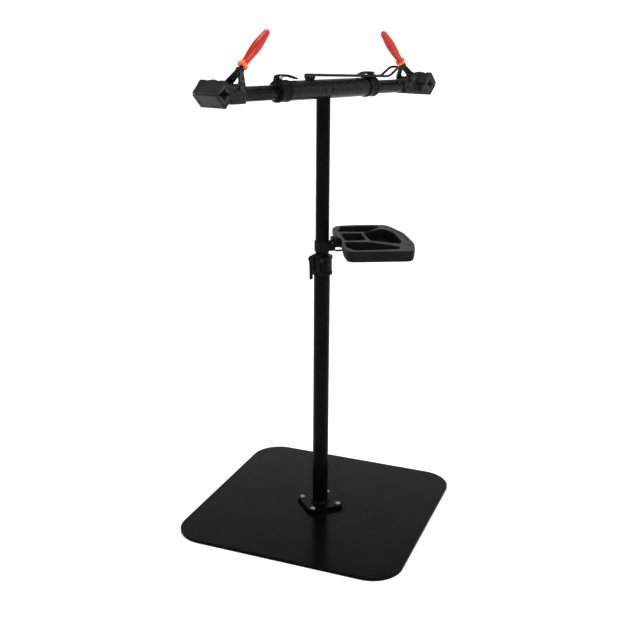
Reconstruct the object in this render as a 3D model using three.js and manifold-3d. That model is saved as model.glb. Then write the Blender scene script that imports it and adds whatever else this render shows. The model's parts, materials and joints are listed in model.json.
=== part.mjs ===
// Twin-clamp bike repair stand: a steel floor plate, a telescoping mast, a cross beam with two
// telescoping arms, a pair of lever-operated jaw clamps, a wire hanger and a tool tray.
// Millimetres, +Z up. The origin is on the floor, on the axis of the mast.
import * as THREE from 'three';
import { mergeVertices } from 'three/addons/utils/BufferGeometryUtils.js';
import Module from 'manifold-3d';

const wasm = await Module();
wasm.setup();

// ---- driving dimensions ----------------------------------------------------------------
const GAP = 0.3;                    // clearance between fitted pieces
const PLATE_SIDE = 700;
const PLATE_CORNER = 95;
const PLATE_THICK = 10;
const FLANGE_SIDE = 115;
const FLANGE_CORNER = 15;
const FLANGE_THICK = 12;
const FOOT_BOLT_REACH = 60;         // mast axis to foot bolt
const FOOT_BOLT_R = 5;
const LOWER_R = 24;
const LOWER_WALL = 2;
const LOWER_TOP = 820;
const UPPER_R = 20;
const UPPER_WALL = 3;
const UPPER_BOTTOM = 480;
const BEAM_Z = 1301;                // height of the beam axis
const BEAM_HEADING = 70;            // degrees from +X, seen from above
const BEAM_SHIFT = 15;              // beam centre, along the beam from the mast axis
const BEAM_R = 26.5;
const BEAM_WALL = 2.5;
const BEAM_HALF = 202;
const BEAM_SCREW_X = 15;
const CLAMP_BOTTOM = 768;           // height clamp on the lower tube
const CLAMP_TOP = 824;
const CLAMP_R = 31;
const CLAMP_HEADING = -95;
const CLAMP_EAR_REACH = 50;
const CLAMP_AXLE_REACH = 40;
const CLAMP_AXLE_Z = 819;
const CLAMP_EAR_TOP = 834;
const CLAMP_SCREW_HEADING = 55;     // from the ears
const CLAMP_SCREW_Z = 803;
const ARM_R = 15;
const ARM_WALL = 2.5;
const ARM_Z = -7;                   // arm axis, from the beam axis
const ARM_INNER_END = 108;          // from the beam centre
const RAIL_OUTER_END = 322;
const RAIL_LOW = 12.5;              // rail underside and top, from the beam axis
const RAIL_HIGH = 17;
const RAIL_WIDTH = 14;
const COLLAR_NEAR = 167;            // arm collar, from the beam centre
const COLLAR_FAR = 207;
const COLLAR_R = 29.5;
const LOCK_X = 200;                 // arm lock axle
const LOCK_Z = 36.5;
const HEAD_X = 432;                 // jaw centre, from the beam centre, with the arm pushed in
const JAW_LIFT = 9;                 // jaw centre above the arm axis
const JAW_HALF_W = 30;
const JAW_HALF_H = 34;
const JAW_HALF_L = 43;
const JAW_HINGE = [-38, 14];        // x and z in the head's frame
const LEVER_PIVOT = [-72, 24];
const LEVER_NECK = [-96, 69];
const BLOCK_HALF = 18.5;
const HANDLE_LENGTH = 138;
const HANDLE_LEAN = 47.5;           // degrees from upright, towards the mast
const ARMS = {                      // which way each arm points, and how far it is pulled out
  left: { side: -1, extension: 0 },
  right: { side: 1, extension: 14 },
};
const HANGER_R = 3.6;
const HANGER_HALF_W = 16;
const HANGER_X = -73;               // feet of the wire, from the beam centre
const HANGER_Z = 30.6;
const TRAY_TOP = 872;
const TRAY_DEPTH = 32;
const TRAY_HEADING = 29.4;          // direction of the tray's middle, from +X
const TRAY_BACK_PLATE = 53;         // outer face of the tray's bracket, from the mast axis

// ---- solids ----------------------------------------------------------------------------
const rad = THREE.MathUtils.degToRad;

function toSolid(geometry) {
  const bare = geometry.clone();
  for (const name of Object.keys(bare.attributes)) {
    if (name !== 'position') bare.deleteAttribute(name);
  }
  const merged = mergeVertices(bare, 1e-4);
  const index = merged.index.array;
  const triangles = [];
  for (let i = 0; i < index.length; i += 3) {
    const [a, b, c] = [index[i], index[i + 1], index[i + 2]];
    if (a !== b && b !== c && c !== a) triangles.push(a, b, c);
  }
  const vertProperties = new Float32Array(merged.attributes.position.array);
  const triVerts = new Uint32Array(triangles);
  return new wasm.Manifold(new wasm.Mesh({ numProp: 3, vertProperties, triVerts }));
}

function fromSolid(manifold) {
  const mesh = manifold.getMesh();
  const geometry = new THREE.BufferGeometry();
  geometry.setAttribute('position', new THREE.BufferAttribute(mesh.vertProperties, 3));
  geometry.setIndex(new THREE.BufferAttribute(mesh.triVerts, 1));
  return geometry;
}

function cut(base, ...tools) {
  return fromSolid(tools.reduce((body, tool) => body.subtract(toSolid(tool)), toSolid(base)));
}

function join(...pieces) {
  return fromSolid(pieces.map(toSolid).reduce((body, piece) => body.add(piece)));
}

// A round bar from z = low to z = high.
function bar(radius, low, high, sides = 24) {
  const geometry = new THREE.CylinderGeometry(radius, radius, high - low, sides);
  return geometry.rotateX(Math.PI / 2).translate(0, 0, (low + high) / 2);
}

// A round bar along X, or along Y, centred on a line through (x, y, z).
function barX(radius, from, to, y = 0, z = 0, sides = 24) {
  return bar(radius, from, to, sides).rotateY(Math.PI / 2).translate(0, y, z);
}

function barY(radius, from, to, x = 0, z = 0, sides = 16) {
  return bar(radius, from, to, sides).rotateX(-Math.PI / 2).translate(x, 0, z);
}

function pipe(outer, inner, low, high, sides = 28) {
  return cut(bar(outer, low, high, sides), bar(inner, low - 1, high + 1, sides));
}

function pipeX(outer, inner, from, to, y = 0, z = 0, sides = 28) {
  return pipe(outer, inner, from, to, sides).rotateY(Math.PI / 2).translate(0, y, z);
}

// A box between two corners.
function box([x0, y0, z0], [x1, y1, z1]) {
  const geometry = new THREE.BoxGeometry(x1 - x0, y1 - y0, z1 - z0);
  return geometry.translate((x0 + x1) / 2, (y0 + y1) / 2, (z0 + z1) / 2);
}

// An outline in the XY plane, extruded upwards.
function slab(shape, low, high, curveSegments = 8) {
  const options = { depth: high - low, bevelEnabled: false, curveSegments };
  return new THREE.ExtrudeGeometry(shape, options).translate(0, 0, low);
}

// An outline drawn with x and z, extruded along Y.
function sideSlab(shape, fromY, toY, curveSegments = 8) {
  return slab(shape, -toY, -fromY, curveSegments).rotateX(Math.PI / 2);
}

function polygon(points) {
  return new THREE.Shape(points.map(([x, y]) => new THREE.Vector2(x, y)));
}

function roundedRectangle(width, height, radius) {
  const [x, y] = [width / 2 - radius, height / 2 - radius];
  const shape = new THREE.Shape();
  shape.absarc(x, y, radius, 0, Math.PI / 2);
  shape.absarc(-x, y, radius, Math.PI / 2, Math.PI);
  shape.absarc(-x, -y, radius, Math.PI, Math.PI * 1.5);
  shape.absarc(x, -y, radius, Math.PI * 1.5, Math.PI * 2);
  shape.closePath();
  return shape;
}

// A turned solid about Z; the profile is a list of [radius, z] that starts and ends on the axis.
function turned(profile, sides = 20) {
  return new THREE.LatheGeometry(profile.map(([r, z]) => new THREE.Vector2(r, z)), sides)
    .rotateX(Math.PI / 2);
}

// A path through corner points, each corner rounded to a radius.
class RodPath extends THREE.Curve {
  constructor(corners, radius, arcSteps = 4) {
    super();
    const pts = corners.map(([x, y, z]) => new THREE.Vector3(x, y, z));
    this.points = [pts[0]];
    for (let i = 1; i < pts.length - 1; i += 1) {
      const [back, ahead] = [pts[i - 1].clone().sub(pts[i]), pts[i + 1].clone().sub(pts[i])];
      const reach = Math.min(radius, 0.45 * back.length(), 0.45 * ahead.length());
      const before = back.setLength(reach).add(pts[i]);
      const after = ahead.setLength(reach).add(pts[i]);
      const bend = new THREE.QuadraticBezierCurve3(before, pts[i], after);
      this.points.push(...bend.getPoints(arcSteps));
    }
    this.points.push(pts[pts.length - 1]);
  }

  get steps() {
    return this.points.length - 1;
  }

  getUtoTmapping(u) {
    return u;
  }

  getPoint(t) {
    const place = t * this.steps;
    const i = Math.min(Math.floor(place), this.steps - 1);
    return this.points[i].clone().lerp(this.points[i + 1], place - i);
  }
}

function rod(corners, radius, bendRadius, segments = 4) {
  const section = new THREE.Shape();
  section.absarc(0, 0, radius, 0, Math.PI * 2);
  const path = new RodPath(corners, bendRadius);
  return new THREE.ExtrudeGeometry(section, {
    steps: path.steps,
    curveSegments: segments,
    extrudePath: path,
    bevelEnabled: false,
  });
}

// ---- finishes --------------------------------------------------------------------------
const FINISHES = {
  powder: { color: 0x0d0d0e, roughness: 0.35, metalness: 0.0 },
  plate: { color: 0x111112, roughness: 0.45, metalness: 0.0 },
  cast: { color: 0x141416, roughness: 0.5, metalness: 0.3 },
  steel: { color: 0xb4b5b8, roughness: 0.35, metalness: 1.0 },
  darkSteel: { color: 0x2a2a2d, roughness: 0.4, metalness: 1.0 },
  plastic: { color: 0x121214, roughness: 0.6, metalness: 0.0 },
  rubber: { color: 0x0b0b0b, roughness: 0.9, metalness: 0.0 },
  redGrip: { color: 0xd0321c, roughness: 0.4, metalness: 0.0 },
};

function piece(parent, name, finish, geometry) {
  const mesh = new THREE.Mesh(geometry, new THREE.MeshStandardMaterial(FINISHES[finish]));
  mesh.name = name;
  parent.add(mesh);
  return mesh;
}

// ---- foot ------------------------------------------------------------------------------
const FOOT_BOLT_HEADINGS = [0, 90, 180, 270];

function footBoltPlace(degrees) {
  return [FOOT_BOLT_REACH * Math.cos(rad(degrees)), FOOT_BOLT_REACH * Math.sin(rad(degrees))];
}

function boltHoles(low, high) {
  return FOOT_BOLT_HEADINGS.map((degrees) => {
    const [x, y] = footBoltPlace(degrees);
    return bar(FOOT_BOLT_R + GAP, low, high, 16).translate(x, y, 0);
  });
}

function basePlate() {
  const outline = roundedRectangle(PLATE_SIDE, PLATE_SIDE, PLATE_CORNER);
  return cut(slab(outline, 0, PLATE_THICK, 6), ...boltHoles(-1, PLATE_THICK + 1));
}

function footFlange() {
  const top = PLATE_THICK + FLANGE_THICK;
  const outline = roundedRectangle(FLANGE_SIDE, FLANGE_SIDE, FLANGE_CORNER);
  const flange = slab(outline, PLATE_THICK, top, 3).rotateZ(Math.PI / 4);
  const weld = turned([[0, top - 2], [LOWER_R + 9, top - 2], [LOWER_R + 8, top + 1],
    [LOWER_R + 2, top + 8], [0, top + 8]], 28);
  const bore = bar(LOWER_R + GAP, 0, top + 20, 28);
  return cut(join(flange, weld), bore, ...boltHoles(0, top + 5));
}

function footBolt() {
  const seat = PLATE_THICK + FLANGE_THICK;
  const body = turned([[0, 1.5], [FOOT_BOLT_R, 1.5], [FOOT_BOLT_R, seat], [8, seat],
    [8, seat + 2], [6.4, seat + 4.2], [4.4, seat + 5], [0, seat + 5]], 16);
  return cut(body, bar(3.5, seat + 2.5, seat + 7, 6));
}

function addFoot(stand) {
  piece(stand, 'base_plate', 'plate', basePlate());
  piece(stand, 'foot_flange', 'powder', footFlange());
  FOOT_BOLT_HEADINGS.forEach((degrees, i) => {
    const [x, y] = footBoltPlace(degrees);
    piece(stand, `foot_bolt_${i + 1}`, 'steel', footBolt().translate(x, y, 0));
  });
}

// ---- lower mast and height clamp -------------------------------------------------------
function lowerTube() {
  const tube = pipe(LOWER_R, LOWER_R - LOWER_WALL, PLATE_THICK, LOWER_TOP);
  const slot = box([0, -1.5, LOWER_TOP - 60], [LOWER_R + 5, 1.5, LOWER_TOP + 5]);
  return cut(tube, slot.rotateZ(rad(CLAMP_HEADING)));
}

function guideBush() {
  const sleeve = bar(LOWER_R - LOWER_WALL - GAP, LOWER_TOP - 70, LOWER_TOP + 2, 28);
  const lip = bar(LOWER_R - 0.2, LOWER_TOP + GAP, LOWER_TOP + 3, 28);
  return cut(join(sleeve, lip), bar(UPPER_R + GAP, LOWER_TOP - 80, LOWER_TOP + 10, 28));
}

// The clamp's own frame has +X towards its ears; the lever is on the -Y side of them.
function heightClampBand() {
  const ring = bar(CLAMP_R, CLAMP_BOTTOM, CLAMP_TOP, 28);
  const ears = box([LOWER_R, -11, CLAMP_BOTTOM + 10], [CLAMP_EAR_REACH, 11, CLAMP_EAR_TOP]);
  const rib = box([-CLAMP_R - 3, -9, CLAMP_BOTTOM + 6], [-LOWER_R - 3, 9, CLAMP_TOP - 6]);
  const bore = bar(LOWER_R + GAP, CLAMP_BOTTOM - 1, CLAMP_EAR_TOP + 1, 28);
  const slit = box([0, -2, CLAMP_BOTTOM - 1], [CLAMP_EAR_REACH + 5, 2, CLAMP_EAR_TOP + 1]);
  const axleHole = barY(4 + GAP, -20, 20, CLAMP_AXLE_REACH, CLAMP_AXLE_Z);
  const screwHole = barX(3 + GAP, 20, 60, 0, 0, 12).rotateZ(rad(CLAMP_SCREW_HEADING))
    .translate(0, 0, CLAMP_SCREW_Z);
  return cut(join(ring, ears, rib), bore, slit, axleHole, screwHole);
}

function heightClampAxle() {
  const shank = barY(4, -23, 16, CLAMP_AXLE_REACH, CLAMP_AXLE_Z);
  const knurl = barY(6, -24, -20 - GAP, CLAMP_AXLE_REACH, CLAMP_AXLE_Z);
  return join(shank, knurl);
}

function heightClampNut() {
  const body = barY(7.5, 11 + GAP, 18, CLAMP_AXLE_REACH, CLAMP_AXLE_Z, 6);
  const dome = barY(5, 17.5, 21, CLAMP_AXLE_REACH, CLAMP_AXLE_Z, 12);
  return cut(join(body, dome), barY(4 + GAP, 0, 16 + GAP, CLAMP_AXLE_REACH, CLAMP_AXLE_Z));
}

function heightClampLever() {
  const cam = barY(10, -20, -11 - GAP, CLAMP_AXLE_REACH, CLAMP_AXLE_Z, 20);
  const arm = new THREE.Shape();
  arm.moveTo(CLAMP_AXLE_REACH - 9, CLAMP_AXLE_Z);
  arm.lineTo(CLAMP_AXLE_REACH - 6, CLAMP_AXLE_Z - 40);
  arm.quadraticCurveTo(CLAMP_AXLE_REACH - 5, CLAMP_AXLE_Z - 52,
    CLAMP_AXLE_REACH - 7, CLAMP_AXLE_Z - 60);
  arm.lineTo(CLAMP_AXLE_REACH + 4, CLAMP_AXLE_Z - 61);
  arm.quadraticCurveTo(CLAMP_AXLE_REACH + 6, CLAMP_AXLE_Z - 50,
    CLAMP_AXLE_REACH + 5, CLAMP_AXLE_Z - 40);
  arm.lineTo(CLAMP_AXLE_REACH + 9, CLAMP_AXLE_Z);
  const blade = sideSlab(arm, -19.5, -12.5, 4);
  return cut(join(cam, blade), barY(4 + GAP, -30, -5, CLAMP_AXLE_REACH, CLAMP_AXLE_Z));
}

function bandScrew() {
  const screw = turned([[0, LOWER_R + 0.6], [3, LOWER_R + 0.6], [3, CLAMP_R + 0.4],
    [5.5, CLAMP_R + 0.4], [5.5, CLAMP_R + 2.5], [4, CLAMP_R + 4], [0, CLAMP_R + 4]], 14);
  return cut(screw, bar(2.3, CLAMP_R + 2, CLAMP_R + 6, 6)).rotateY(Math.PI / 2)
    .rotateZ(rad(CLAMP_SCREW_HEADING)).translate(0, 0, CLAMP_SCREW_Z);
}

function addLowerMast(stand) {
  piece(stand, 'lower_mast_tube', 'powder', lowerTube());
  piece(stand, 'mast_guide_bush', 'plastic', guideBush());
  const clamp = new THREE.Group();
  clamp.rotation.z = rad(CLAMP_HEADING);
  stand.add(clamp);
  piece(clamp, 'height_clamp_band', 'cast', heightClampBand());
  piece(clamp, 'height_clamp_axle', 'steel', heightClampAxle());
  piece(clamp, 'height_clamp_nut', 'steel', heightClampNut());
  piece(clamp, 'height_clamp_lever', 'plastic', heightClampLever());
  piece(clamp, 'height_clamp_screw', 'steel', bandScrew());
}

// ---- upper mast and beam ---------------------------------------------------------------
// From here on heights are counted from the beam axis, and +X runs along the beam.
const MAST_TOP = 12;

function beamScrewHoles(radius, from, to) {
  return [-BEAM_SCREW_X, BEAM_SCREW_X].map((x) => barY(radius, from, to, x, 0, 12));
}

function glideRing() {
  const low = UPPER_BOTTOM - BEAM_Z;
  const ring = bar(LOWER_R - LOWER_WALL - 0.4, low - 18, low - GAP, 28);
  const spigot = bar(UPPER_R - UPPER_WALL - GAP, low - 5, low + 25, 24);
  return cut(join(ring, spigot), bar(12, low - 20, low + 30, 24));
}

function upperTube() {
  const tube = pipe(UPPER_R, UPPER_R - UPPER_WALL, UPPER_BOTTOM - BEAM_Z, MAST_TOP, 28);
  return cut(tube, ...beamScrewHoles(3 + GAP, -UPPER_R - 1, 0));
}

function mastTopPlug() {
  const plug = bar(UPPER_R - UPPER_WALL - GAP, -30, MAST_TOP - 1, 24);
  return cut(plug, ...beamScrewHoles(3 + GAP, -UPPER_R, -2));
}

function beamScrew(x) {
  const front = -BEAM_R - 0.1;
  const head = barY(5.2, front - 3, front, x, 0, 14);
  const socket = barY(2.4, front - 4, front - 1.2, x, 0, 6);
  return cut(join(head, barY(3, front - 0.5, -3, x, 0, 12)), socket);
}

const SLOT_LENGTH = 45;             // the beam's ends are slit so that the collars can pinch them

function beamTube() {
  const tube = pipeX(BEAM_R, BEAM_R - BEAM_WALL, -BEAM_HALF, BEAM_HALF);
  const mastHole = bar(UPPER_R + GAP, -BEAM_R - 5, 0, 28).translate(-BEAM_SHIFT, 0, 0);
  const screwHoles = beamScrewHoles(3 + GAP, -BEAM_R - 2, -BEAM_R / 2)
    .map((hole) => hole.translate(-BEAM_SHIFT, 0, 0));
  const slots = [-1, 1].map((end) => box(
    [Math.min(end * (BEAM_HALF - SLOT_LENGTH), end * (BEAM_HALF + 5)), -1.5, 15],
    [Math.max(end * (BEAM_HALF - SLOT_LENGTH), end * (BEAM_HALF + 5)), 1.5, BEAM_R + 2],
  ));
  return cut(tube, mastHole, ...screwHoles, ...slots);
}

// ---- wire hanger ------------------------------------------------------------------------------
function hangerBracket() {
  const block = box([HANGER_X - 8, -11, 18], [HANGER_X + 8, 11, HANGER_Z + 5.5]);
  const saddle = barX(BEAM_R + GAP, HANGER_X - 20, HANGER_X + 20, 0, 0, 28);
  return cut(block, saddle, barY(HANGER_R + GAP, -15, 15, HANGER_X, HANGER_Z, 12));
}

function wireHanger() {
  const half = [[0, 4.5, 0], [0, HANGER_HALF_W, 0], [0, HANGER_HALF_W, 9],
    [340, HANGER_HALF_W, -2.5], [388, HANGER_HALF_W, 24]];
  const otherHalf = half.map(([x, y, z]) => [x, -y, z]).reverse();
  return rod([...half, ...otherHalf], HANGER_R, 14).translate(HANGER_X, 0, HANGER_Z);
}

// ---- telescoping arms ------------------------------------------------------------------
// Both arms are drawn pointing along +X; the left one is the same arm turned half round.
function armBush() {
  const sleeve = barX(BEAM_R - BEAM_WALL - GAP, BEAM_HALF - 42, BEAM_HALF + GAP, 0, 0, 28);
  const lip = barX(BEAM_R, BEAM_HALF + GAP, BEAM_HALF + 4, 0, 0, 28);
  const bore = barX(ARM_R + GAP, BEAM_HALF - 50, BEAM_HALF + 10, 0, ARM_Z, 28);
  const keyway = box([BEAM_HALF - 50, -RAIL_WIDTH / 2 - GAP, ARM_Z],
    [BEAM_HALF + 10, RAIL_WIDTH / 2 + GAP, RAIL_HIGH + GAP]);
  return cut(join(sleeve, lip), bore, keyway);
}

function armCollar() {
  const ring = barX(COLLAR_R, COLLAR_NEAR, COLLAR_FAR, 0, 0, 28);
  const lug = box([LOCK_X - 13, -5.5, 20], [LOCK_X + 12, 5.5, LOCK_Z + 4]);
  const bore = barX(BEAM_R + GAP, COLLAR_NEAR - 5, COLLAR_FAR + 5, 0, 0, 28);
  const slit = box([COLLAR_NEAR - 5, -1, 10], [COLLAR_FAR + 5, 1, LOCK_Z + 10]);
  return cut(join(ring, lug), bore, slit, barY(3 + GAP, -8, 8, LOCK_X, LOCK_Z));
}

function armLockPin() {
  const shank = barY(3, -12, 12, LOCK_X, LOCK_Z);
  return join(shank, barY(4.6, -12, -10, LOCK_X, LOCK_Z), barY(4.6, 10, 12, LOCK_X, LOCK_Z));
}

function armLockLever() {
  const profile = new THREE.Shape();
  profile.moveTo(LOCK_X, LOCK_Z + 6);
  profile.quadraticCurveTo(LOCK_X - 40, LOCK_Z + 9.5, LOCK_X - 70, LOCK_Z - 3.5);
  profile.lineTo(LOCK_X - 71, LOCK_Z - 7);
  profile.quadraticCurveTo(LOCK_X - 38, LOCK_Z + 3.5, LOCK_X - 12, LOCK_Z);
  profile.lineTo(LOCK_X - 4, LOCK_Z - 4.5);
  profile.lineTo(LOCK_X, LOCK_Z - 5.5);
  profile.absarc(LOCK_X, LOCK_Z, 6, -Math.PI / 2, Math.PI / 2);
  const blade = sideSlab(profile, -9.5, 9.5, 7);
  const fork = box([LOCK_X - 15, -5.9, 20], [LOCK_X + 15, 5.9, 60]);
  const window = box([LOCK_X - 56, -4.5, 20], [LOCK_X - 31, 4.5, 60]);
  return cut(blade, fork, window, barY(3 + GAP, -12, 12, LOCK_X, LOCK_Z));
}

function armTube() {
  return pipeX(ARM_R, ARM_R - ARM_WALL, ARM_INNER_END, HEAD_X - 60.5, 0, ARM_Z, 28);
}

function armRail() {
  const half = RAIL_WIDTH / 2;
  const strip = box([ARM_INNER_END, -half, RAIL_LOW], [RAIL_OUTER_END, half, RAIL_HIGH]);
  const feet = [ARM_INNER_END, RAIL_OUTER_END - 10]
    .map((x) => box([x, -half, 4], [x + 10, half, RAIL_LOW + 1]));
  const web = box([ARM_INNER_END, -2.5, 4], [RAIL_OUTER_END, 2.5, RAIL_LOW + 1]);
  const saddle = barX(ARM_R + GAP, 0, HEAD_X, 0, ARM_Z, 28);
  return cut(join(strip, web, ...feet), saddle);
}

// ---- jaw clamp -------------------------------------------------------------------------
// The head's frame: +X away from the mast, origin on the arm axis in the plane of the jaw centre.
const [HINGE_X, HINGE_Z] = JAW_HINGE;
const [PIVOT_X, PIVOT_Z] = LEVER_PIVOT;
const CHANNEL_HALF_W = 23;
const CHANNEL_HALF_H = 26;
const PART_LINE = 0.4;              // half the gap between the closed jaws
const STAR_HALF_H = 17.5;           // half height of the four-pointed opening
const LOBE = 5.5;                   // how close the pads' lobes come to its middle

// The cross-section of one jaw: a half diamond with a V channel; up is 1 or -1.
function jawSection(up) {
  const z = (height) => JAW_LIFT + up * height;
  return polygon([[-JAW_HALF_W, z(PART_LINE)], [-JAW_HALF_W, z(3)], [-3, z(JAW_HALF_H)],
    [3, z(JAW_HALF_H)], [JAW_HALF_W, z(3)], [JAW_HALF_W, z(PART_LINE)],
    [CHANNEL_HALF_W, z(PART_LINE)], [0, z(CHANNEL_HALF_H)], [-CHANNEL_HALF_W, z(PART_LINE)]]);
}

// The rubber lining of one jaw, two lobes that leave half of a four-pointed opening.
function padSection(up) {
  const z = (height) => JAW_LIFT + up * height;
  const [w, h] = [CHANNEL_HALF_W - 0.5, CHANNEL_HALF_H - 0.6];
  const shape = new THREE.Shape();
  shape.moveTo(w, z(PART_LINE));
  shape.lineTo(0, z(h));
  shape.lineTo(-w, z(PART_LINE));
  shape.lineTo(-w + 2, z(PART_LINE));
  shape.quadraticCurveTo(-LOBE, z(LOBE), 0, z(STAR_HALF_H));
  shape.quadraticCurveTo(LOBE, z(LOBE), w - 2, z(PART_LINE));
  return shape;
}

function jawPad(up) {
  return sideSlab(padSection(up), 1 - JAW_HALF_L, JAW_HALF_L - 1, 6);
}

function upperJaw() {
  const body = sideSlab(jawSection(1), -JAW_HALF_L, JAW_HALF_L);
  const knuckle = barY(7, -8, 8, HINGE_X, HINGE_Z, 20);
  const web = sideSlab(polygon([[HINGE_X, HINGE_Z + 7], [HINGE_X + 1, HINGE_Z - 4],
    [-27, HINGE_Z], [-20, 24], [-14, 30]]), -8, 8);
  const domeSeat = bar(9, 20, JAW_LIFT + JAW_HALF_H + 1.5, 20).translate(-2, 4, 0);
  const shell = cut(join(body, knuckle, web, domeSeat), barY(3 + GAP, -20, 20, HINGE_X, HINGE_Z));
  return cut(shell, channel());
}

// The V channel of both jaws, to clear anything joined on to them.
function channel() {
  const section = polygon([[-CHANNEL_HALF_W, JAW_LIFT], [0, JAW_LIFT - CHANNEL_HALF_H],
    [CHANNEL_HALF_W, JAW_LIFT], [0, JAW_LIFT + CHANNEL_HALF_H]]);
  return sideSlab(section, -JAW_HALF_L - 5, JAW_HALF_L + 5);
}

function lowerJaw() {
  const body = sideSlab(jawSection(-1), -JAW_HALF_L, JAW_HALF_L);
  const web = sideSlab(polygon([[-46, HINGE_Z - 8], [-46, -15], [-6, -15], [-24, HINGE_Z - 8]]),
    -17, 17);
  const boltHole = barX(4 + GAP, -50, -34, 0, -4, 14);
  return cut(join(body, web), channel(), boltHole);
}

const SET_SCREW_X = -84;

function clampBlock() {
  const socket = box([-98, -BLOCK_HALF, -BLOCK_HALF], [-46 - GAP, BLOCK_HALF, 16.5]);
  const lug = sideSlab(roundedLug(), -21, 21);
  const ears = [-1, 1].map((side) => join(
    barY(7.5, side > 0 ? 8.4 : -17, side > 0 ? 17 : -8.4, HINGE_X, HINGE_Z, 20),
    box([-50, side > 0 ? 8.4 : -17, HINGE_Z - 7], [HINGE_X, side > 0 ? 17 : -8.4, HINGE_Z + 7]),
  ));
  const bore = barX(ARM_R + GAP, -110, -60, 0, 0, 28);
  return cut(join(socket, lug, ...ears), bore, barY(3.5 + GAP, -30, 30, PIVOT_X, PIVOT_Z),
    barY(3 + GAP, -20, 20, HINGE_X, HINGE_Z), barX(4 + GAP, -58, -40, 0, -4, 14),
    barY(3 + GAP, -25, -ARM_R / 2, SET_SCREW_X, 0, 12));
}

function roundedLug() {
  const shape = new THREE.Shape();
  shape.moveTo(PIVOT_X - 14, 10);
  shape.lineTo(PIVOT_X + 14, 10);
  shape.lineTo(PIVOT_X + 8, PIVOT_Z);
  shape.absarc(PIVOT_X, PIVOT_Z, 8, 0, Math.PI);
  return shape;
}

function blockBolt() {
  return barX(4, -57, -34.5, 0, -4, 14);
}

function clampSetScrew() {
  const seat = -BLOCK_HALF - GAP;
  const head = barY(5, seat - 3, seat, SET_SCREW_X, 0, 14);
  const screw = join(head, barY(3, seat - 1, -ARM_R - GAP, SET_SCREW_X, 0, 12));
  return cut(screw, barY(2.3, seat - 4, seat - 1.2, SET_SCREW_X, 0, 6));
}

function hingePin() {
  return join(barY(3, -19, 19, HINGE_X, HINGE_Z, 14),
    barY(5, -19.5, -17 - GAP, HINGE_X, HINGE_Z, 14),
    barY(5, 17 + GAP, 19.5, HINGE_X, HINGE_Z, 14));
}

function leverPin() {
  return join(barY(3.5, -29, 29, PIVOT_X, PIVOT_Z), barY(6, -30, -28, PIVOT_X, PIVOT_Z),
    barY(6, 28, 30, PIVOT_X, PIVOT_Z));
}

const NECK = new THREE.Vector2(...LEVER_NECK).sub(new THREE.Vector2(...LEVER_PIVOT));
const FORK_LENGTH = NECK.length();
const FORK_LEAN = -Math.atan2(NECK.x, NECK.y);
const PRONG_IN = 22;
const PRONG_OUT = 27.5;
const EYE_R = 9;
const PLATE_HALF = 12;              // half width of a prong's plate at the pivot and at the neck
const NECK_HALF = 7;
const NECK_WIDTH = 9;               // half width of the neck, seen along the beam
const TANG_R = 5;

// Places a solid drawn upright on the origin at the lever's pivot, leaning towards the mast.
function onPivot(geometry) {
  return geometry.rotateY(-FORK_LEAN).translate(PIVOT_X, 0, PIVOT_Z);
}

// Places a solid drawn upright on the origin along the handle.
function onHandle(geometry) {
  return geometry.rotateY(-rad(HANDLE_LEAN)).translate(LEVER_NECK[0], 0, LEVER_NECK[1]);
}

// The two prongs seen along the beam, closing in straight lines to a short neck.
function forkOutline() {
  return polygon([[PRONG_OUT, 0], [PRONG_OUT, 11], [NECK_WIDTH, FORK_LENGTH - 8],
    [NECK_WIDTH, FORK_LENGTH + 1], [-NECK_WIDTH, FORK_LENGTH + 1],
    [-NECK_WIDTH, FORK_LENGTH - 8], [-PRONG_OUT, 11], [-PRONG_OUT, 0],
    [-PRONG_IN, 0], [-PRONG_IN, 10], [-4, FORK_LENGTH - 16], [4, FORK_LENGTH - 16],
    [PRONG_IN, 10], [PRONG_IN, 0]]);
}

function clampLever() {
  const front = slab(forkOutline(), -PLATE_HALF, PLATE_HALF).rotateX(Math.PI / 2)
    .rotateZ(Math.PI / 2);
  const taper = sideSlab(polygon([[PLATE_HALF, -1], [PLATE_HALF, 8], [NECK_HALF, FORK_LENGTH - 8],
    [NECK_HALF, FORK_LENGTH + 2], [-NECK_HALF, FORK_LENGTH + 2], [-NECK_HALF, FORK_LENGTH - 8],
    [-PLATE_HALF, 8], [-PLATE_HALF, -1]]), -PRONG_OUT - 5, PRONG_OUT + 5);
  const fork = fromSolid(toSolid(front).intersect(toSolid(taper)));
  const eyes = [[-PRONG_OUT, -PRONG_IN], [PRONG_IN, PRONG_OUT]]
    .map(([from, to]) => barY(EYE_R, from, to, 0, 0, 20));
  const tang = onHandle(bar(TANG_R, -3, 60, 14));
  const pinHole = barY(3.5 + GAP, -40, 40, PIVOT_X, PIVOT_Z);
  return cut(join(onPivot(join(fork, ...eyes)), tang), pinHole);
}

function leverGrip() {
  const outline = [[0, 6], [12.5, 6], [15, 10], [11.5, 16], [10, 22], [12, 45], [14, 75], [13.2, 95],
    [10.5, 115], [10, 125], [8, 134], [4, HANDLE_LENGTH], [0, HANDLE_LENGTH]];
  return onHandle(cut(turned(outline, 20), bar(TANG_R + GAP, 0, 62, 14)));
}

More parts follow.
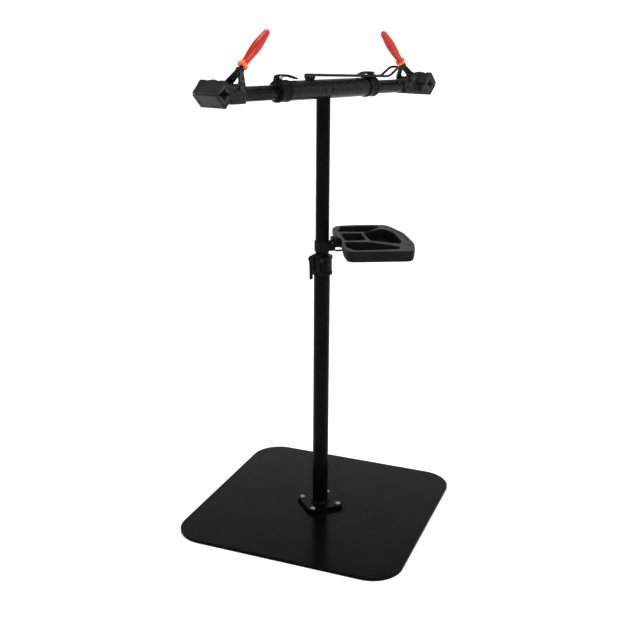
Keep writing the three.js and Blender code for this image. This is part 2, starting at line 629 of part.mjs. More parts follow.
function addHead(beam, label) {
  const { side, extension } = ARMS[label];
  const head = new THREE.Group();
  head.position.set(side * (HEAD_X + extension), 0, ARM_Z);
  head.rotation.z = side > 0 ? 0 : Math.PI;
  beam.add(head);
  piece(head, `clamp_block_${label}`, 'cast', clampBlock());
  piece(head, `clamp_bolt_${label}`, 'steel', blockBolt());
  piece(head, `clamp_set_screw_${label}`, 'darkSteel', clampSetScrew());
  piece(head, `lower_jaw_${label}`, 'cast', lowerJaw());
  piece(head, `lower_pad_${label}`, 'rubber', jawPad(-1));
  piece(head, `jaw_hinge_pin_${label}`, 'steel', hingePin());
  piece(head, `lever_pin_${label}`, 'steel', leverPin());
  piece(head, `upper_jaw_${label}`, 'cast', upperJaw());
  piece(head, `upper_pad_${label}`, 'rubber', jawPad(1));
  piece(head, `clamp_lever_${label}`, 'darkSteel', clampLever());
  piece(head, `lever_grip_${label}`, 'redGrip', leverGrip());
}

function addArm(beam, label) {
  const { side, extension } = ARMS[label];
  const arm = new THREE.Group();
  arm.rotation.z = side > 0 ? 0 : Math.PI;
  beam.add(arm);
  piece(arm, `arm_bush_${label}`, 'plastic', armBush());
  piece(arm, `arm_collar_${label}`, 'cast', armCollar());
  piece(arm, `arm_lock_pin_${label}`, 'steel', armLockPin());
  piece(arm, `arm_lock_lever_${label}`, 'plastic', armLockLever());
  piece(arm, `arm_tube_${label}`, 'powder', armTube().translate(extension, 0, 0));
  piece(arm, `arm_rail_${label}`, 'darkSteel', armRail().translate(extension, 0, 0));
}

function addUpperMast(stand) {
  const top = new THREE.Group();
  top.position.z = BEAM_Z;
  top.rotation.z = rad(BEAM_HEADING);
  stand.add(top);
  piece(top, 'mast_glide_ring', 'plastic', glideRing());
  piece(top, 'upper_mast_tube', 'powder', upperTube());
  piece(top, 'mast_top_plug', 'plastic', mastTopPlug());
  [-BEAM_SCREW_X, BEAM_SCREW_X].forEach((x, i) => {
    piece(top, `beam_screw_${i + 1}`, 'darkSteel', beamScrew(x));
  });

  const beam = new THREE.Group();
  beam.position.x = BEAM_SHIFT;
  top.add(beam);
  piece(beam, 'beam_tube', 'powder', beamTube());
  piece(beam, 'hanger_bracket', 'cast', hangerBracket());
  piece(beam, 'wire_hanger', 'powder', wireHanger());
  for (const label of ['left', 'right']) {
    addArm(beam, label);
    addHead(beam, label);
  }
}

// ---- tray ------------------------------------------------------------------------------
// The tray's frame: +X from the mast to the tray's middle, Z from the floor.
const TRAY_FLOOR = 3;
const BAND_R = UPPER_R + GAP;

// An outline through corner points, each corner rounded with a curve of the given reach.
function softPolygon(points, reach) {
  const corners = points.map(([x, y]) => new THREE.Vector2(x, y));
  const shape = new THREE.Shape();
  corners.forEach((corner, i) => {
    const before = corners[(i + corners.length - 1) % corners.length];
    const after = corners[(i + 1) % corners.length];
    const start = before.clone().sub(corner).setLength(reach).add(corner);
    const end = after.clone().sub(corner).setLength(reach).add(corner);
    if (i === 0) shape.moveTo(start.x, start.y);
    else shape.lineTo(start.x, start.y);
    shape.quadraticCurveTo(corner.x, corner.y, end.x, end.y);
  });
  shape.closePath();
  return shape;
}

const TRAY_OUTLINE = [[44, -175], [236, -183], [258, -80], [260, 70], [232, 199], [150, 206],
  [66, 198], [46, 130], [54, 45], [54, -32], [44, -90]];

function pocket(points) {
  return slab(softPolygon(points, 8), TRAY_TOP - TRAY_DEPTH + TRAY_FLOOR, TRAY_TOP + 5, 3);
}

function trayBody() {
  const body = slab(softPolygon(TRAY_OUTLINE, 27), TRAY_TOP - TRAY_DEPTH, TRAY_TOP, 6);
  const pockets = [
    [[60, 105], [68, 135], [84, 184], [192, 184], [202, 162], [150, 92]],
    [[68, 76], [128, 76], [128, -22], [64, -26]],
    [[58, -44], [134, -54], [206, -122], [200, -150], [72, -158], [54, -110]],
    [[136, 76], [196, 132], [212, 130], [229, 73], [228, -40], [216, -86], [138, -34]],
  ];
  const hole = bar(6, TRAY_TOP - TRAY_DEPTH - 5, TRAY_TOP + 5, 14).translate(237, -101, 0);
  return cut(body, ...pockets.map(pocket), hole);
}

function trayBand() {
  const [low, high] = [TRAY_TOP - 34, TRAY_TOP - 4];
  const ring = bar(BAND_R + 3, low, high, 28);
  const lug = box([18, -10, low], [34, 10, high]);
  const bore = bar(BAND_R, low - 1, high + 1, 28);
  const slit = box([10, -1.5, low - 1], [40, 1.5, high + 1]);
  return cut(join(ring, lug), bore, slit, barY(2.5 + GAP, -20, 20, 29, TRAY_TOP - 10, 12));
}

function trayBandScrew() {
  const z = TRAY_TOP - 10;
  return join(barY(2.5, -12, 12, 29, z, 12), barY(4.5, -13, -10 - GAP, 29, z, 12),
    barY(4.5, 10 + GAP, 13, 29, z, 6));
}

function trayBracket() {
  const [low, high] = [TRAY_TOP - 22, TRAY_TOP + 6];
  const plate = box([TRAY_BACK_PLATE - 4, -26, low], [TRAY_BACK_PLATE, 26, high]);
  const cheeks = [[-16, -10 - GAP], [10 + GAP, 16]]
    .map(([from, to]) => box([26, from, low], [TRAY_BACK_PLATE - 3, to, high]));
  return cut(join(plate, ...cheeks), bar(BAND_R + 3 + GAP, low - 1, high + 1, 28),
    barY(6, -20, 20, 29, TRAY_TOP - 10, 14));
}

// A wire carrier that reaches from the band's lug to the underside of the tray.
function trayWire() {
  const [root, low, reach] = [37, TRAY_TOP - 35, 80];
  const under = TRAY_TOP - TRAY_DEPTH - 1.8;
  return rod([[root, -6, low + 13], [root, -6, low], [reach, -6, under], [reach, 6, under],
    [root, 6, low], [root, 6, low + 13]], 1.5, 4);
}

function addTray(stand) {
  const tray = new THREE.Group();
  tray.rotation.z = rad(TRAY_HEADING);
  stand.add(tray);
  piece(tray, 'tray_body', 'plastic', trayBody());
  piece(tray, 'tray_band', 'cast', trayBand());
  piece(tray, 'tray_band_screw', 'steel', trayBandScrew());
  piece(tray, 'tray_bracket', 'cast', trayBracket());
  piece(tray, 'tray_wire', 'darkSteel', trayWire());
}

// ---- assembly --------------------------------------------------------------------------
const stand = new THREE.Group();
addFoot(stand);
addLowerMast(stand);
addUpperMast(stand);
addTray(stand);

export default stand;
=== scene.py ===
"""Twin-clamp bike repair stand: the detailed pieces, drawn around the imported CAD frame.

Each piece is drawn in millimetres in the local frame of its sub-assembly, and then placed in metres by a
matrix worked out from the frame's joints and boxes.
"""
import json
import math

import bmesh
import bpy
from mathutils import Matrix, Vector

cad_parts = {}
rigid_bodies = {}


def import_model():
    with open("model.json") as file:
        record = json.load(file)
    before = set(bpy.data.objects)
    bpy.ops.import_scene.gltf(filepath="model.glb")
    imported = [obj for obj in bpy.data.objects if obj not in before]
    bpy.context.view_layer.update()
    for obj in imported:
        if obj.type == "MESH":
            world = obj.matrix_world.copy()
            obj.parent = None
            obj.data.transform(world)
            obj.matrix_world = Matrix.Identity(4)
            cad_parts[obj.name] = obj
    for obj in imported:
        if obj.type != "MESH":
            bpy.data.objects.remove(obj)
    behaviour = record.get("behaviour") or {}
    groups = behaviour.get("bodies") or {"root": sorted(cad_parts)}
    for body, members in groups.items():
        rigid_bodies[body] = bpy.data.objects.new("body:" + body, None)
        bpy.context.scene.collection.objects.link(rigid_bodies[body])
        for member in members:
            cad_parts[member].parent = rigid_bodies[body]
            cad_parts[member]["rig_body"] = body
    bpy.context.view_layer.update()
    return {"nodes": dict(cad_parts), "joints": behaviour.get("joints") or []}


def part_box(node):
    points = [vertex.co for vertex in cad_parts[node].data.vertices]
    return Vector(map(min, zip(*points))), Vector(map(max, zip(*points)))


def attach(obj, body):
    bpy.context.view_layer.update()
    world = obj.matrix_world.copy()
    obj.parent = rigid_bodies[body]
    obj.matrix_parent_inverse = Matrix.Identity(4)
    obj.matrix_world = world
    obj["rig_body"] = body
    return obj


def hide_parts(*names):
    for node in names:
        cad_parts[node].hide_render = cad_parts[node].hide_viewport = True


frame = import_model()

MM = 0.001
ROUND = 72                       # sides of a tube or a large round piece
SMALL_ROUND = 32                 # sides of a screw or a pin
SHARP_ANGLE = math.radians(34)
ON_AXIS = 1e-5                   # the radius that stands for the axis itself
PLAY = 0.3                       # clearance between fitted pieces
THROUGH = 5                      # how far a cutting tool reaches past what it cuts
JOINTS = {joint["name"]: joint for joint in frame["joints"]}


# ---- outlines and paths ------------------------------------------------------------------
def curve(start, pull, end, steps):
    """Points of a quadratic curve, without its first one."""
    a, b, c = (Vector(p) for p in (start, pull, end))
    shares = (step / steps for step in range(1, steps + 1))
    return [a * (1 - t) ** 2 + b * 2 * t * (1 - t) + c * t ** 2 for t in shares]


def softened(points, radius, steps=3, closed=False):
    """The same corners, each rounded off with a short curve."""
    corners = [Vector(p) for p in points]
    count = len(corners)
    result = []
    for i, corner in enumerate(corners):
        if not closed and i in (0, count - 1):
            result.append(corner)
            continue
        before = corners[i - 1] - corner
        after = corners[(i + 1) % count] - corner
        reach = min(radius, 0.45 * before.length, 0.45 * after.length)
        start = corner + before.normalized() * reach
        end = corner + after.normalized() * reach
        result += [start] + curve(start, corner, end, steps)
    return result


def bezier(start, pull_start, pull_end, end, steps):
    """Points of a cubic curve, without its first one."""
    a, b, c, d = (Vector(p) for p in (start, pull_start, pull_end, end))
    result = []
    for step in range(1, steps + 1):
        t = step / steps
        s = 1 - t
        result.append(a * s ** 3 + b * 3 * s * s * t + c * 3 * s * t * t + d * t ** 3)
    return result


def circle(radius, sides):
    turns = (math.tau * i / sides for i in range(sides))
    return [Vector((radius * math.cos(t), radius * math.sin(t))) for t in turns]


def arc(radius, x, y, degrees):
    turns = (math.radians(angle) for angle in degrees)
    return [(x + radius * math.cos(t), y + radius * math.sin(t)) for t in turns]


def rectangle(x0, y0, x1, y1):
    return [(x0, y0), (x1, y0), (x1, y1), (x0, y1)]


def inset(outline, distance):
    """The outline moved inwards by a distance; a negative one moves it outwards."""
    count = len(outline)
    area = sum(a.cross(b) for a, b in zip(outline, outline[1:] + outline[:1]))
    side = 1 if area > 0 else -1
    result = []
    for i, point in enumerate(outline):
        before = (point - outline[i - 1]).normalized()
        after = (outline[(i + 1) % count] - point).normalized()
        normal = Vector((-before.y - after.y, before.x + after.x)) * side
        normal.normalize()
        lean = max(0.35, normal.dot(Vector((-after.y, after.x)) * side))
        result.append(point + normal * (distance / lean))
    return result


def both_sides(near, far):
    """The same range on either side of a middle."""
    return (-far, -near), (near, far)


# ---- meshes ------------------------------------------------------------------------------
def skin(loops, closed=False, capped=True):
    """A mesh through loops of equal length; open stacks are capped at both ends."""
    shape = bmesh.new()
    rings = [[shape.verts.new(p) for p in loop] for loop in loops]
    count = len(rings[0])
    for low, high in zip(rings, rings[1:] + rings[:1] if closed else rings[1:]):
        for i in range(count):
            j = (i + 1) % count
            shape.faces.new((low[i], low[j], high[j], high[i]))
    if capped and not closed:
        shape.faces.new(reversed(rings[0]))
        shape.faces.new(rings[-1])
    bmesh.ops.remove_doubles(shape, verts=shape.verts, dist=1e-4)
    bmesh.ops.recalc_face_normals(shape, faces=shape.faces)
    mesh = bpy.data.meshes.new("shape")
    shape.to_mesh(mesh)
    shape.free()
    return mesh


def turned(profile, sides=ROUND, ripple=None):
    """A turned solid about Z, from a profile of (radius, z).

    A profile that starts on the axis also ends there, and any other one is a ring.
    """
    ring_shaped = profile[0][0] > 0
    loops = []
    turns = [math.tau * i / sides for i in range(sides)]
    scales = [ripple(t) if ripple else 1.0 for t in turns]
    for radius, z in profile:
        radius = max(radius, ON_AXIS)
        loops.append([(radius * k * math.cos(t), radius * k * math.sin(t), z)
                      for t, k in zip(turns, scales)])
    return skin(loops, closed=ring_shaped)


def lathe(corners, radius, sides=ROUND, closed=False):
    """A turned solid whose profile's corners are rounded off."""
    return turned(softened(corners, radius, closed=closed), sides)


def bar(radius, low, high, sides=SMALL_ROUND, edge=0.4):
    return lathe([(0, low), (radius, low), (radius, high), (0, high)], edge, sides)


def tube(outer, inner, low, high, sides=ROUND, edge=0.5):
    return lathe([(inner, low), (outer, low), (outer, high), (inner, high)], edge, sides, closed=True)


def stacked(outline, layers):
    """A solid through copies of a flat outline, each layer an (inset, z)."""
    loops = []
    for distance, z in layers:
        loops.append([(p.x, p.y, z) for p in inset(outline, distance)])
    return skin(loops)


def prism(outline, low, high, edge=0.8, corner=0.0):
    """A flat outline pushed up from low to high, its rims and, if asked for, its corners rounded."""
    points = [Vector(p) for p in outline]
    if corner:
        points = softened(points, corner, steps=4, closed=True)
    slope = 0.3 * edge
    return stacked(points, [(edge, low), (slope, low + slope), (0, low + edge),
                            (0, high - edge), (slope, high - slope), (edge, high)])


def block(x, y, z, edge=1.0):
    """A rounded block between (from, to) pairs."""
    return prism(rectangle(x[0], y[0], x[1], y[1]), z[0], z[1], edge, corner=edge)


def swept(path, radius, sides, closed=False):
    """A round rod that follows a path of points."""
    points = [Vector(p) for p in path]
    count = len(points)
    loops = []
    across = None
    for i, point in enumerate(points):
        ahead = points[(i + 1) % count] if closed or i < count - 1 else point
        behind = points[i - 1] if closed or i else point
        along = (ahead - behind).normalized()
        if across is None:
            across = along.orthogonal().normalized()
        across = (across - along * across.dot(along)).normalized()
        third = along.cross(across)
        loops.append([point + across * q.x + third * q.y for q in circle(radius, sides)])
    return skin(loops, closed)


def moved(mesh, x=0.0, y=0.0, z=0.0):
    mesh.transform(Matrix.Translation((x, y, z)))
    return mesh


def spun(mesh, axis, degrees):
    mesh.transform(Matrix.Rotation(math.radians(degrees), 4, axis))
    return mesh


def along_x(mesh):
    """Lays a mesh down: what was drawn with x, y and upwards becomes y, z and x."""
    mesh.transform(Matrix(((0, 0, 1, 0), (1, 0, 0, 0), (0, 1, 0, 0), (0, 0, 0, 1))))
    return mesh


def along_y(mesh):
    """Stands a mesh up: what was drawn with x, y and upwards becomes x, z and y."""
    mesh.transform(Matrix(((1, 0, 0, 0), (0, 0, 1, 0), (0, 1, 0, 0), (0, 0, 0, 1))))
    mesh.flip_normals()
    return mesh


def bar_x(radius, low, high, sides=SMALL_ROUND, edge=0.4, z=0.0):
    return moved(along_x(bar(radius, low, high, sides, edge)), z=z)


def bar_y(radius, low, high, sides=SMALL_ROUND, edge=0.4, x=0.0, z=0.0):
    return moved(along_y(bar(radius, low, high, sides, edge)), x, 0, z)


def slab(outline, low, high, edge=0.8, corner=0.0):
    """A flat outline in x and z, pushed along Y from low to high."""
    return along_y(prism(outline, low, high, edge, corner))


def hex_screw(profile, edge, key, bottom, sides=40):
    """A turned screw with a hexagon socket, key across its corners, from its bottom up."""
    return cut(lathe(profile, edge, sides), bar(key, bottom, profile[-1][1] + THROUGH, 6, edge=0.05))


def link(thing):
    bpy.context.scene.collection.objects.link(thing)


def boolean(operation, base, tools):
    """Joins or cuts solids."""
    host = bpy.data.objects.new("host", base)
    helpers = [host] + [bpy.data.objects.new("tool", tool) for tool in tools]
    for helper in helpers:
        link(helper)
    for helper in helpers[1:]:
        modifier = host.modifiers.new("solid", "BOOLEAN")
        modifier.operation = operation
        modifier.solver = "MANIFOLD"
        modifier.object = helper
    graph = bpy.context.evaluated_depsgraph_get()
    result = bpy.data.meshes.new_from_object(host.evaluated_get(graph))
    for helper in helpers:
        mesh = helper.data
        bpy.data.objects.remove(helper)
        bpy.data.meshes.remove(mesh)
    return result


def joined(base, *pieces):
    return boolean("UNION", base, pieces)


def cut(base, *tools):
    return boolean("DIFFERENCE", base, tools)


def overlap(base, *pieces):
    return boolean("INTERSECT", base, pieces)


# ---- materials ---------------------------------------------------------------------------
def socket(shader, name, value):
    shader.inputs[name].default_value = value


def noise(nodes, links, coordinates, scale, detail, roughness=0.5):
    texture = nodes.new("ShaderNodeTexNoise")
    socket(texture, "Scale", scale)
    socket(texture, "Detail", detail)
    socket(texture, "Roughness", roughness)
    links.new(coordinates, texture.inputs["Vector"])
    return texture.outputs["Fac"]


def blend(nodes, links, factor, dark, light):
    """A colour ramp between two colours over the middle of a factor."""
    band = nodes.new("ShaderNodeValToRGB")
    for stop, position, colour in zip(band.color_ramp.elements, (0.35, 0.65), (dark, light)):
        stop.position = position
        stop.color = (*colour, 1)
    links.new(factor, band.inputs["Fac"])
    return band.outputs["Color"]


def spread(nodes, links, factor, low, high):
    """A factor between 0 and 1 spread between two values."""
    band = nodes.new("ShaderNodeMapRange")
    for name, value in (("From Min", 0.3), ("From Max", 0.7), ("To Min", low), ("To Max", high)):
        socket(band, name, value)
    links.new(factor, band.inputs["Value"])
    return band.outputs["Result"]


def finish(name, dark, light, rough, grain_scale, grain_height, tone_scale=14.0, cells=False, **uniform):
    """A surface with patches between two colours, roughness that varies, and a fine grain as bump.

    rough is the range of the roughness, the scales are per metre, and grain_height is in metres.
    """
    material = bpy.data.materials.new(name)
    material.use_nodes = True
    nodes, links = material.node_tree.nodes, material.node_tree.links
    shader = nodes["Principled BSDF"]
    place = nodes.new("ShaderNodeTexCoord").outputs["Object"]
    tone = noise(nodes, links, place, tone_scale, 4.0)
    wear = noise(nodes, links, place, tone_scale * 7.3, 5.0, 0.65)
    links.new(blend(nodes, links, tone, dark, light), shader.inputs["Base Color"])
    links.new(spread(nodes, links, wear, *rough), shader.inputs["Roughness"])
    if cells:
        texture = nodes.new("ShaderNodeTexVoronoi")
        socket(texture, "Scale", grain_scale)
        links.new(place, texture.inputs["Vector"])
        grain = texture.outputs["Distance"]
    else:
        grain = noise(nodes, links, place, grain_scale, 2.0)
    bump = nodes.new("ShaderNodeBump")
    socket(bump, "Strength", 0.6)
    socket(bump, "Distance", grain_height)
    links.new(grain, bump.inputs["Height"])
    links.new(bump.outputs["Normal"], shader.inputs["Normal"])
    for key, value in uniform.items():
        socket(shader, key.replace("_", " "), value)
    return material


def grey(value, warmth=0.0):
    return (value * (1 + warmth), value, value * (1 - warmth))


FINISHES = {
    "plate": (finish("plate_powder", grey(0.0012), grey(0.002), (0.18, 0.26), 1100, 0.00002,
        tone_scale=5, Specular_IOR_Level=0.03), "plate_coat"),
    "mast": (finish("mast_powder", grey(0.001), grey(0.0018), (0.26, 0.34), 650, 0.000015,
        Specular_IOR_Level=0.035), "powder_coat"),
    "powder": (finish("gloss_powder", grey(0.003), grey(0.0045), (0.24, 0.32), 650, 0.000015,
        Specular_IOR_Level=0.12), "powder_coat"),
    "cast": (finish("painted_casting", grey(0.006, 0.02), grey(0.012, 0.02), (0.36, 0.5), 1500, 0.00008,
        Specular_IOR_Level=0.16), "cast_metal"),
    "dark_cast": (finish("dark_casting", grey(0.0018), grey(0.0035), (0.34, 0.46), 1500, 0.00005,
        Specular_IOR_Level=0.06), "cast_metal"),
    "dull_zinc": (finish("dull_zinc", grey(0.03, 0.01), grey(0.05, 0.02), (0.3, 0.45), 900, 0.00004,
        Metallic=1.0), "zinc_steel"),
    "zinc": (finish("zinc_plate", grey(0.24, 0.01), grey(0.36, 0.02), (0.2, 0.38), 900, 0.00004,
        Metallic=1.0), "zinc_steel"),
    "dark_steel": (finish("blackened_steel", grey(0.009), grey(0.018, 0.03), (0.26, 0.42), 800, 0.00008,
        Metallic=0.85), "dark_steel"),
    "plastic": (finish("moulded_plastic", grey(0.0035), grey(0.005), (0.42, 0.54), 1700, 0.00006,
        cells=True, Specular_IOR_Level=0.06), "black_plastic"),
    "rubber": (finish("jaw_rubber", grey(0.022), grey(0.034), (0.6, 0.75), 1300, 0.0001,
        Specular_IOR_Level=0.2), "jaw_rubber"),
    "red": (finish("red_vinyl", (0.36, 0.012, 0.004), (0.45, 0.018, 0.006), (0.24, 0.34), 900, 0.00006,
        tone_scale=30, Specular_IOR_Level=0.3, Coat_Weight=0.2, Coat_Roughness=0.2,
        Subsurface_Weight=0.08, Subsurface_Scale=0.004), "red_grip"),
    # The flare's orange is a painted highlight: a lighter copy of the red vinyl that stands for the light
    # the flare catches.
    "painted_highlight": (finish("highlight_painted_vinyl", (0.82, 0.12, 0.02), (0.98, 0.18, 0.035), (0.28, 0.4), 900, 0.00006,
        tone_scale=30, Specular_IOR_Level=0.3, Subsurface_Weight=0.08, Subsurface_Scale=0.004), "red_grip"),
}


# ---- placing pieces ----------------------------------------------------------------------
def add_piece(name, mesh, place, finish_name, node, stands_for=()):
    """Puts a drawn mesh in place; it moves with the body of a CAD node."""
    mesh.transform(place)
    if place.determinant() < 0:
        mesh.flip_normals()
    mesh.shade_smooth()
    mesh.set_sharp_from_angle(angle=SHARP_ANGLE)
    material, slot = FINISHES[finish_name]
    mesh.materials.clear()
    mesh.materials.append(material)
    mesh.name = name
    piece = bpy.data.objects.new(name, mesh)
    link(piece)
    weighting = piece.modifiers.new("weighted normals", "WEIGHTED_NORMAL")
    weighting.keep_sharp = True
    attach(piece, frame["nodes"][node]["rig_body"])
    if stands_for:
        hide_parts(*stands_for)


def stand_ins(place, *pieces, side=""):
    """Detailed pieces in the places of CAD nodes, each a (node, mesh, finish)."""
    for name, mesh, finish_name in pieces:
        node = name + side
        add_piece(node + "_form", mesh, place, finish_name, node, (node,))


def in_millimetres(origin, x_axis, y_axis):
    turn = Matrix((x_axis, y_axis, x_axis.cross(y_axis))).transposed().to_4x4()
    return Matrix.Translation(origin) @ turn @ Matrix.Scale(MM, 4)


def span(node):
    """The lowest and highest corners of a CAD node, in millimetres."""
    low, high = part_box(node)
    return low / MM, high / MM


def joint_axis(name):
    return Vector(JOINTS[name]["axis"]).normalized()


def joint_place(name):
    return Vector(JOINTS[name]["pos_m"])


UP = Vector((0, 0, 1))
MAST = Matrix.Scale(MM, 4)


def upright(origin, x_axis):
    """A frame that stands upright, with its X axis along a level direction."""
    return in_millimetres(origin, x_axis, UP.cross(x_axis))


# ---- camera, floor and light -------------------------------------------------------------
def add_camera():
    yaw, pitch, roll = (math.radians(a) for a in (-21.579, 16.645, -0.308))
    forward = Vector((math.sin(yaw) * math.cos(pitch), math.cos(yaw) * math.cos(pitch), -math.sin(pitch)))
    level = Vector((math.cos(yaw), -math.sin(yaw), 0))
    down = forward.cross(level)
    right = level * math.cos(roll) + down * math.sin(roll)
    down = down * math.cos(roll) - level * math.sin(roll)
    data = bpy.data.cameras.new("camera")
    data.sensor_width = 36
    data.lens = 52.74
    camera = bpy.data.objects.new("camera", data)
    place = Matrix((right, -down, -forward)).transposed().to_4x4()
    place.translation = (0.9441, -2.4617, 1.4356)
    camera.matrix_world = place
    link(camera)
    bpy.context.scene.camera = camera


def add_floor():
    """A pale floor that curves up into a backdrop all round, like a photographer's cove."""
    radius, height, bend, steps, sides = 7.0, 5.0, 2.0, 12, 96
    below_plate = 0.0004
    profile = [(ON_AXIS, 0.0), (radius - bend, 0.0)]
    for step in range(1, steps + 1):
        angle = math.pi / 2 * step / steps
        profile.append((radius - bend + bend * math.sin(angle), bend * (1 - math.cos(angle))))
    profile.append((radius, height))
    mesh = skin([[(p.x, p.y, z - below_plate) for p in circle(r, sides)] for r, z in profile], capped=False)
    mesh.flip_normals()
    mesh.shade_smooth()
    material = bpy.data.materials.new("studio_cove")
    material.use_nodes = True
    shader = material.node_tree.nodes["Principled BSDF"]
    socket(shader, "Base Color", (0.93, 0.93, 0.93, 1))
    socket(shader, "Roughness", 0.85)
    socket(shader, "Specular IOR Level", 0.1)
    socket(shader, "Emission Color", (1, 1, 1, 1))
    socket(shader, "Emission Strength", 0.35)
    mesh.materials.append(material)
    floor = bpy.data.objects.new("studio_cove", mesh)
    link(floor)


def add_lamp(name, place, size, watts):
    """A square softbox that faces the middle of the stand."""
    data = bpy.data.lights.new(name, "AREA")
    data.size = size
    data.energy = watts
    lamp = bpy.data.objects.new(name, data)
    lamp.location = place
    lamp.rotation_euler = (Vector((0, 0, 0.9)) - Vector(place)).to_track_quat("-Z", "Y").to_euler()
    link(lamp)


def add_light():
    world = bpy.data.worlds.new("studio")
    world.use_nodes = True
    backdrop = world.node_tree.nodes["Background"]
    socket(backdrop, "Color", (1, 1, 1, 1))
    socket(backdrop, "Strength", 0.3)
    bpy.context.scene.world = world
    bpy.context.scene.view_settings.view_transform = "Standard"
    add_lamp("key_softbox", (3.4, -2.2, 3.2), 1.6, 80)
    add_lamp("fill_softbox", (-3.2, -2.6, 2.6), 1.8, 40)
    add_lamp("top_softbox", (0, 0.6, 4.4), 2.6, 80)


# ---- foot --------------------------------------------------------------------------------
PLATE_CORNER = 95
FLANGE_SIDE = 115
FLANGE_CORNER = 15
FLANGE_THICKNESS = 12
BOLT_R = 5
BOLT_HEAD_R = 8
BOLT_HEAD_HEIGHT = 5
BOLTS = [f"foot_bolt_{i + 1}" for i in range(4)]


def centre(node):
    low, high = span(node)
    return (low + high) / 2


def base_plate():
    low, high = span("base_plate")
    outline = softened_rectangle(high.x - low.x, PLATE_CORNER, 16)
    holes = [moved(bar(BOLT_R + PLAY, -THROUGH, high.z + THROUGH), *centre(name).xy)
             for name in BOLTS]
    return cut(stacked(outline, [(1.6, 0), (0.5, 0.5), (0, 1.6), (0, high.z - 2), (0.3, high.z - 1),
                                 (1.0, high.z - 0.3), (2, high.z)]), *holes)


def softened_rectangle(side, radius, steps):
    """A square with round corners, centred on the origin."""
    reach = side / 2 - radius
    points = []
    for quarter, (x, y) in enumerate(((1, 1), (-1, 1), (-1, -1), (1, -1))):
        for step in range(steps + 1):
            turn = math.pi / 2 * (quarter + step / steps)
            points.append(Vector((x * reach + radius * math.cos(turn), y * reach + radius * math.sin(turn))))
    return points


def foot_flange():
    low, high = span("base_plate")[1].z, span("foot_bolt_1")[1].z - BOLT_HEAD_HEIGHT
    body = prism(softened_rectangle(FLANGE_SIDE, FLANGE_CORNER, 8), low, high, edge=1.4)
    bore = bar(LOWER_R + PLAY, 0, high + THROUGH, ROUND)
    spun(body, "Z", 45)
    holes = []
    for name in BOLTS:
        sink = turned([(0, 0), (BOLT_R + PLAY, 0), (BOLT_R + PLAY, high - 0.6), (BOLT_R + 1.4, high + 0.5),
                       (BOLT_R + 1.4, high + THROUGH), (0, high + THROUGH)], SMALL_ROUND)
        holes.append(moved(sink, *centre(name).xy))
    return cut(body, bore, *holes)


def weld_bead(low, high):
    """A fillet weld round the foot of the mast, with the ripples that the passes leave."""
    inner = LOWER_R + PLAY
    section = softened([(inner, low), (inner + 8.2, low), (inner + 5.5, low + 4.4), (inner + 1.2, high),
                        (inner, high)], 1.6, closed=True)
    return turned(section, 288, lambda turn: 1 + 0.006 * math.sin(46 * turn) + 0.004 * math.sin(5 * turn))


def foot_bolt(seat, top):
    button_r, rim = 6.6, seat + 2.4
    shank = [(0, 1.5), (BOLT_R, 1.5), (BOLT_R, seat), (BOLT_HEAD_R, seat), (BOLT_HEAD_R, seat + 1.2),
             (button_r, seat + 1.2), (button_r, rim)]
    dome = [(button_r * math.cos(t), rim + (top - rim) * math.sin(t))
            for t in (math.radians(a) for a in (20, 40, 60))]
    return hex_screw(shank + dome + [(2.4, top), (0, top)], 0.35, 3.4, top - 2.8, 48)


def add_foot():
    stand_ins(MAST, ("base_plate", base_plate(), "plate"), ("foot_flange", foot_flange(), "mast"))
    seat = span("base_plate")[1].z + FLANGE_THICKNESS
    add_piece("foot_weld", weld_bead(seat, span("foot_flange")[1].z), MAST, "mast", "foot_flange")
    for name in BOLTS:
        top = span(name)[1].z
        stand_ins(MAST, (name, moved(foot_bolt(seat, top), *centre(name).xy), "zinc"))


# ---- lower mast and height clamp ---------------------------------------------------------
LOWER_R = 24
LOWER_WALL = 2
CLAMP_R = 31
EAR_REACH = 50
AXLE_REACH = 40
AXLE_R = 4
AXLE_HALF = 20
EAR_HALF = 11
CLAMP_SLOT_LENGTH = 60           # the slot in the outer tube that lets the band squeeze it
SCREW_R = 3                      # the screws of the height clamp, the beam and the clamp blocks
SCREW_HEADING = 55               # degrees round the mast from the clamp's ears


def clamp_place():
    y_axis = -joint_axis("height_clamp_lever")
    return upright(Vector(), y_axis.cross(UP))


def lower_tube():
    low, high = span("lower_mast_tube")
    wall = tube(LOWER_R, LOWER_R - LOWER_WALL, low.z, high.z, 96, 0.7)
    slot = block((0, LOWER_R + THROUGH), (-1.5, 1.5), (high.z - CLAMP_SLOT_LENGTH, high.z + THROUGH),
                 edge=0.2)
    return cut(wall, slot)


def guide_bush():
    low, high = span("mast_guide_bush")
    inner, outer = UPPER_R + PLAY, LOWER_R - LOWER_WALL - PLAY
    section = [(inner, low.z), (outer, low.z), (outer, high.z - 2.7), (LOWER_R - 0.2, high.z - 2.7),
               (LOWER_R - 0.2, high.z), (inner, high.z)]
    return lathe(section, 0.5, closed=True)


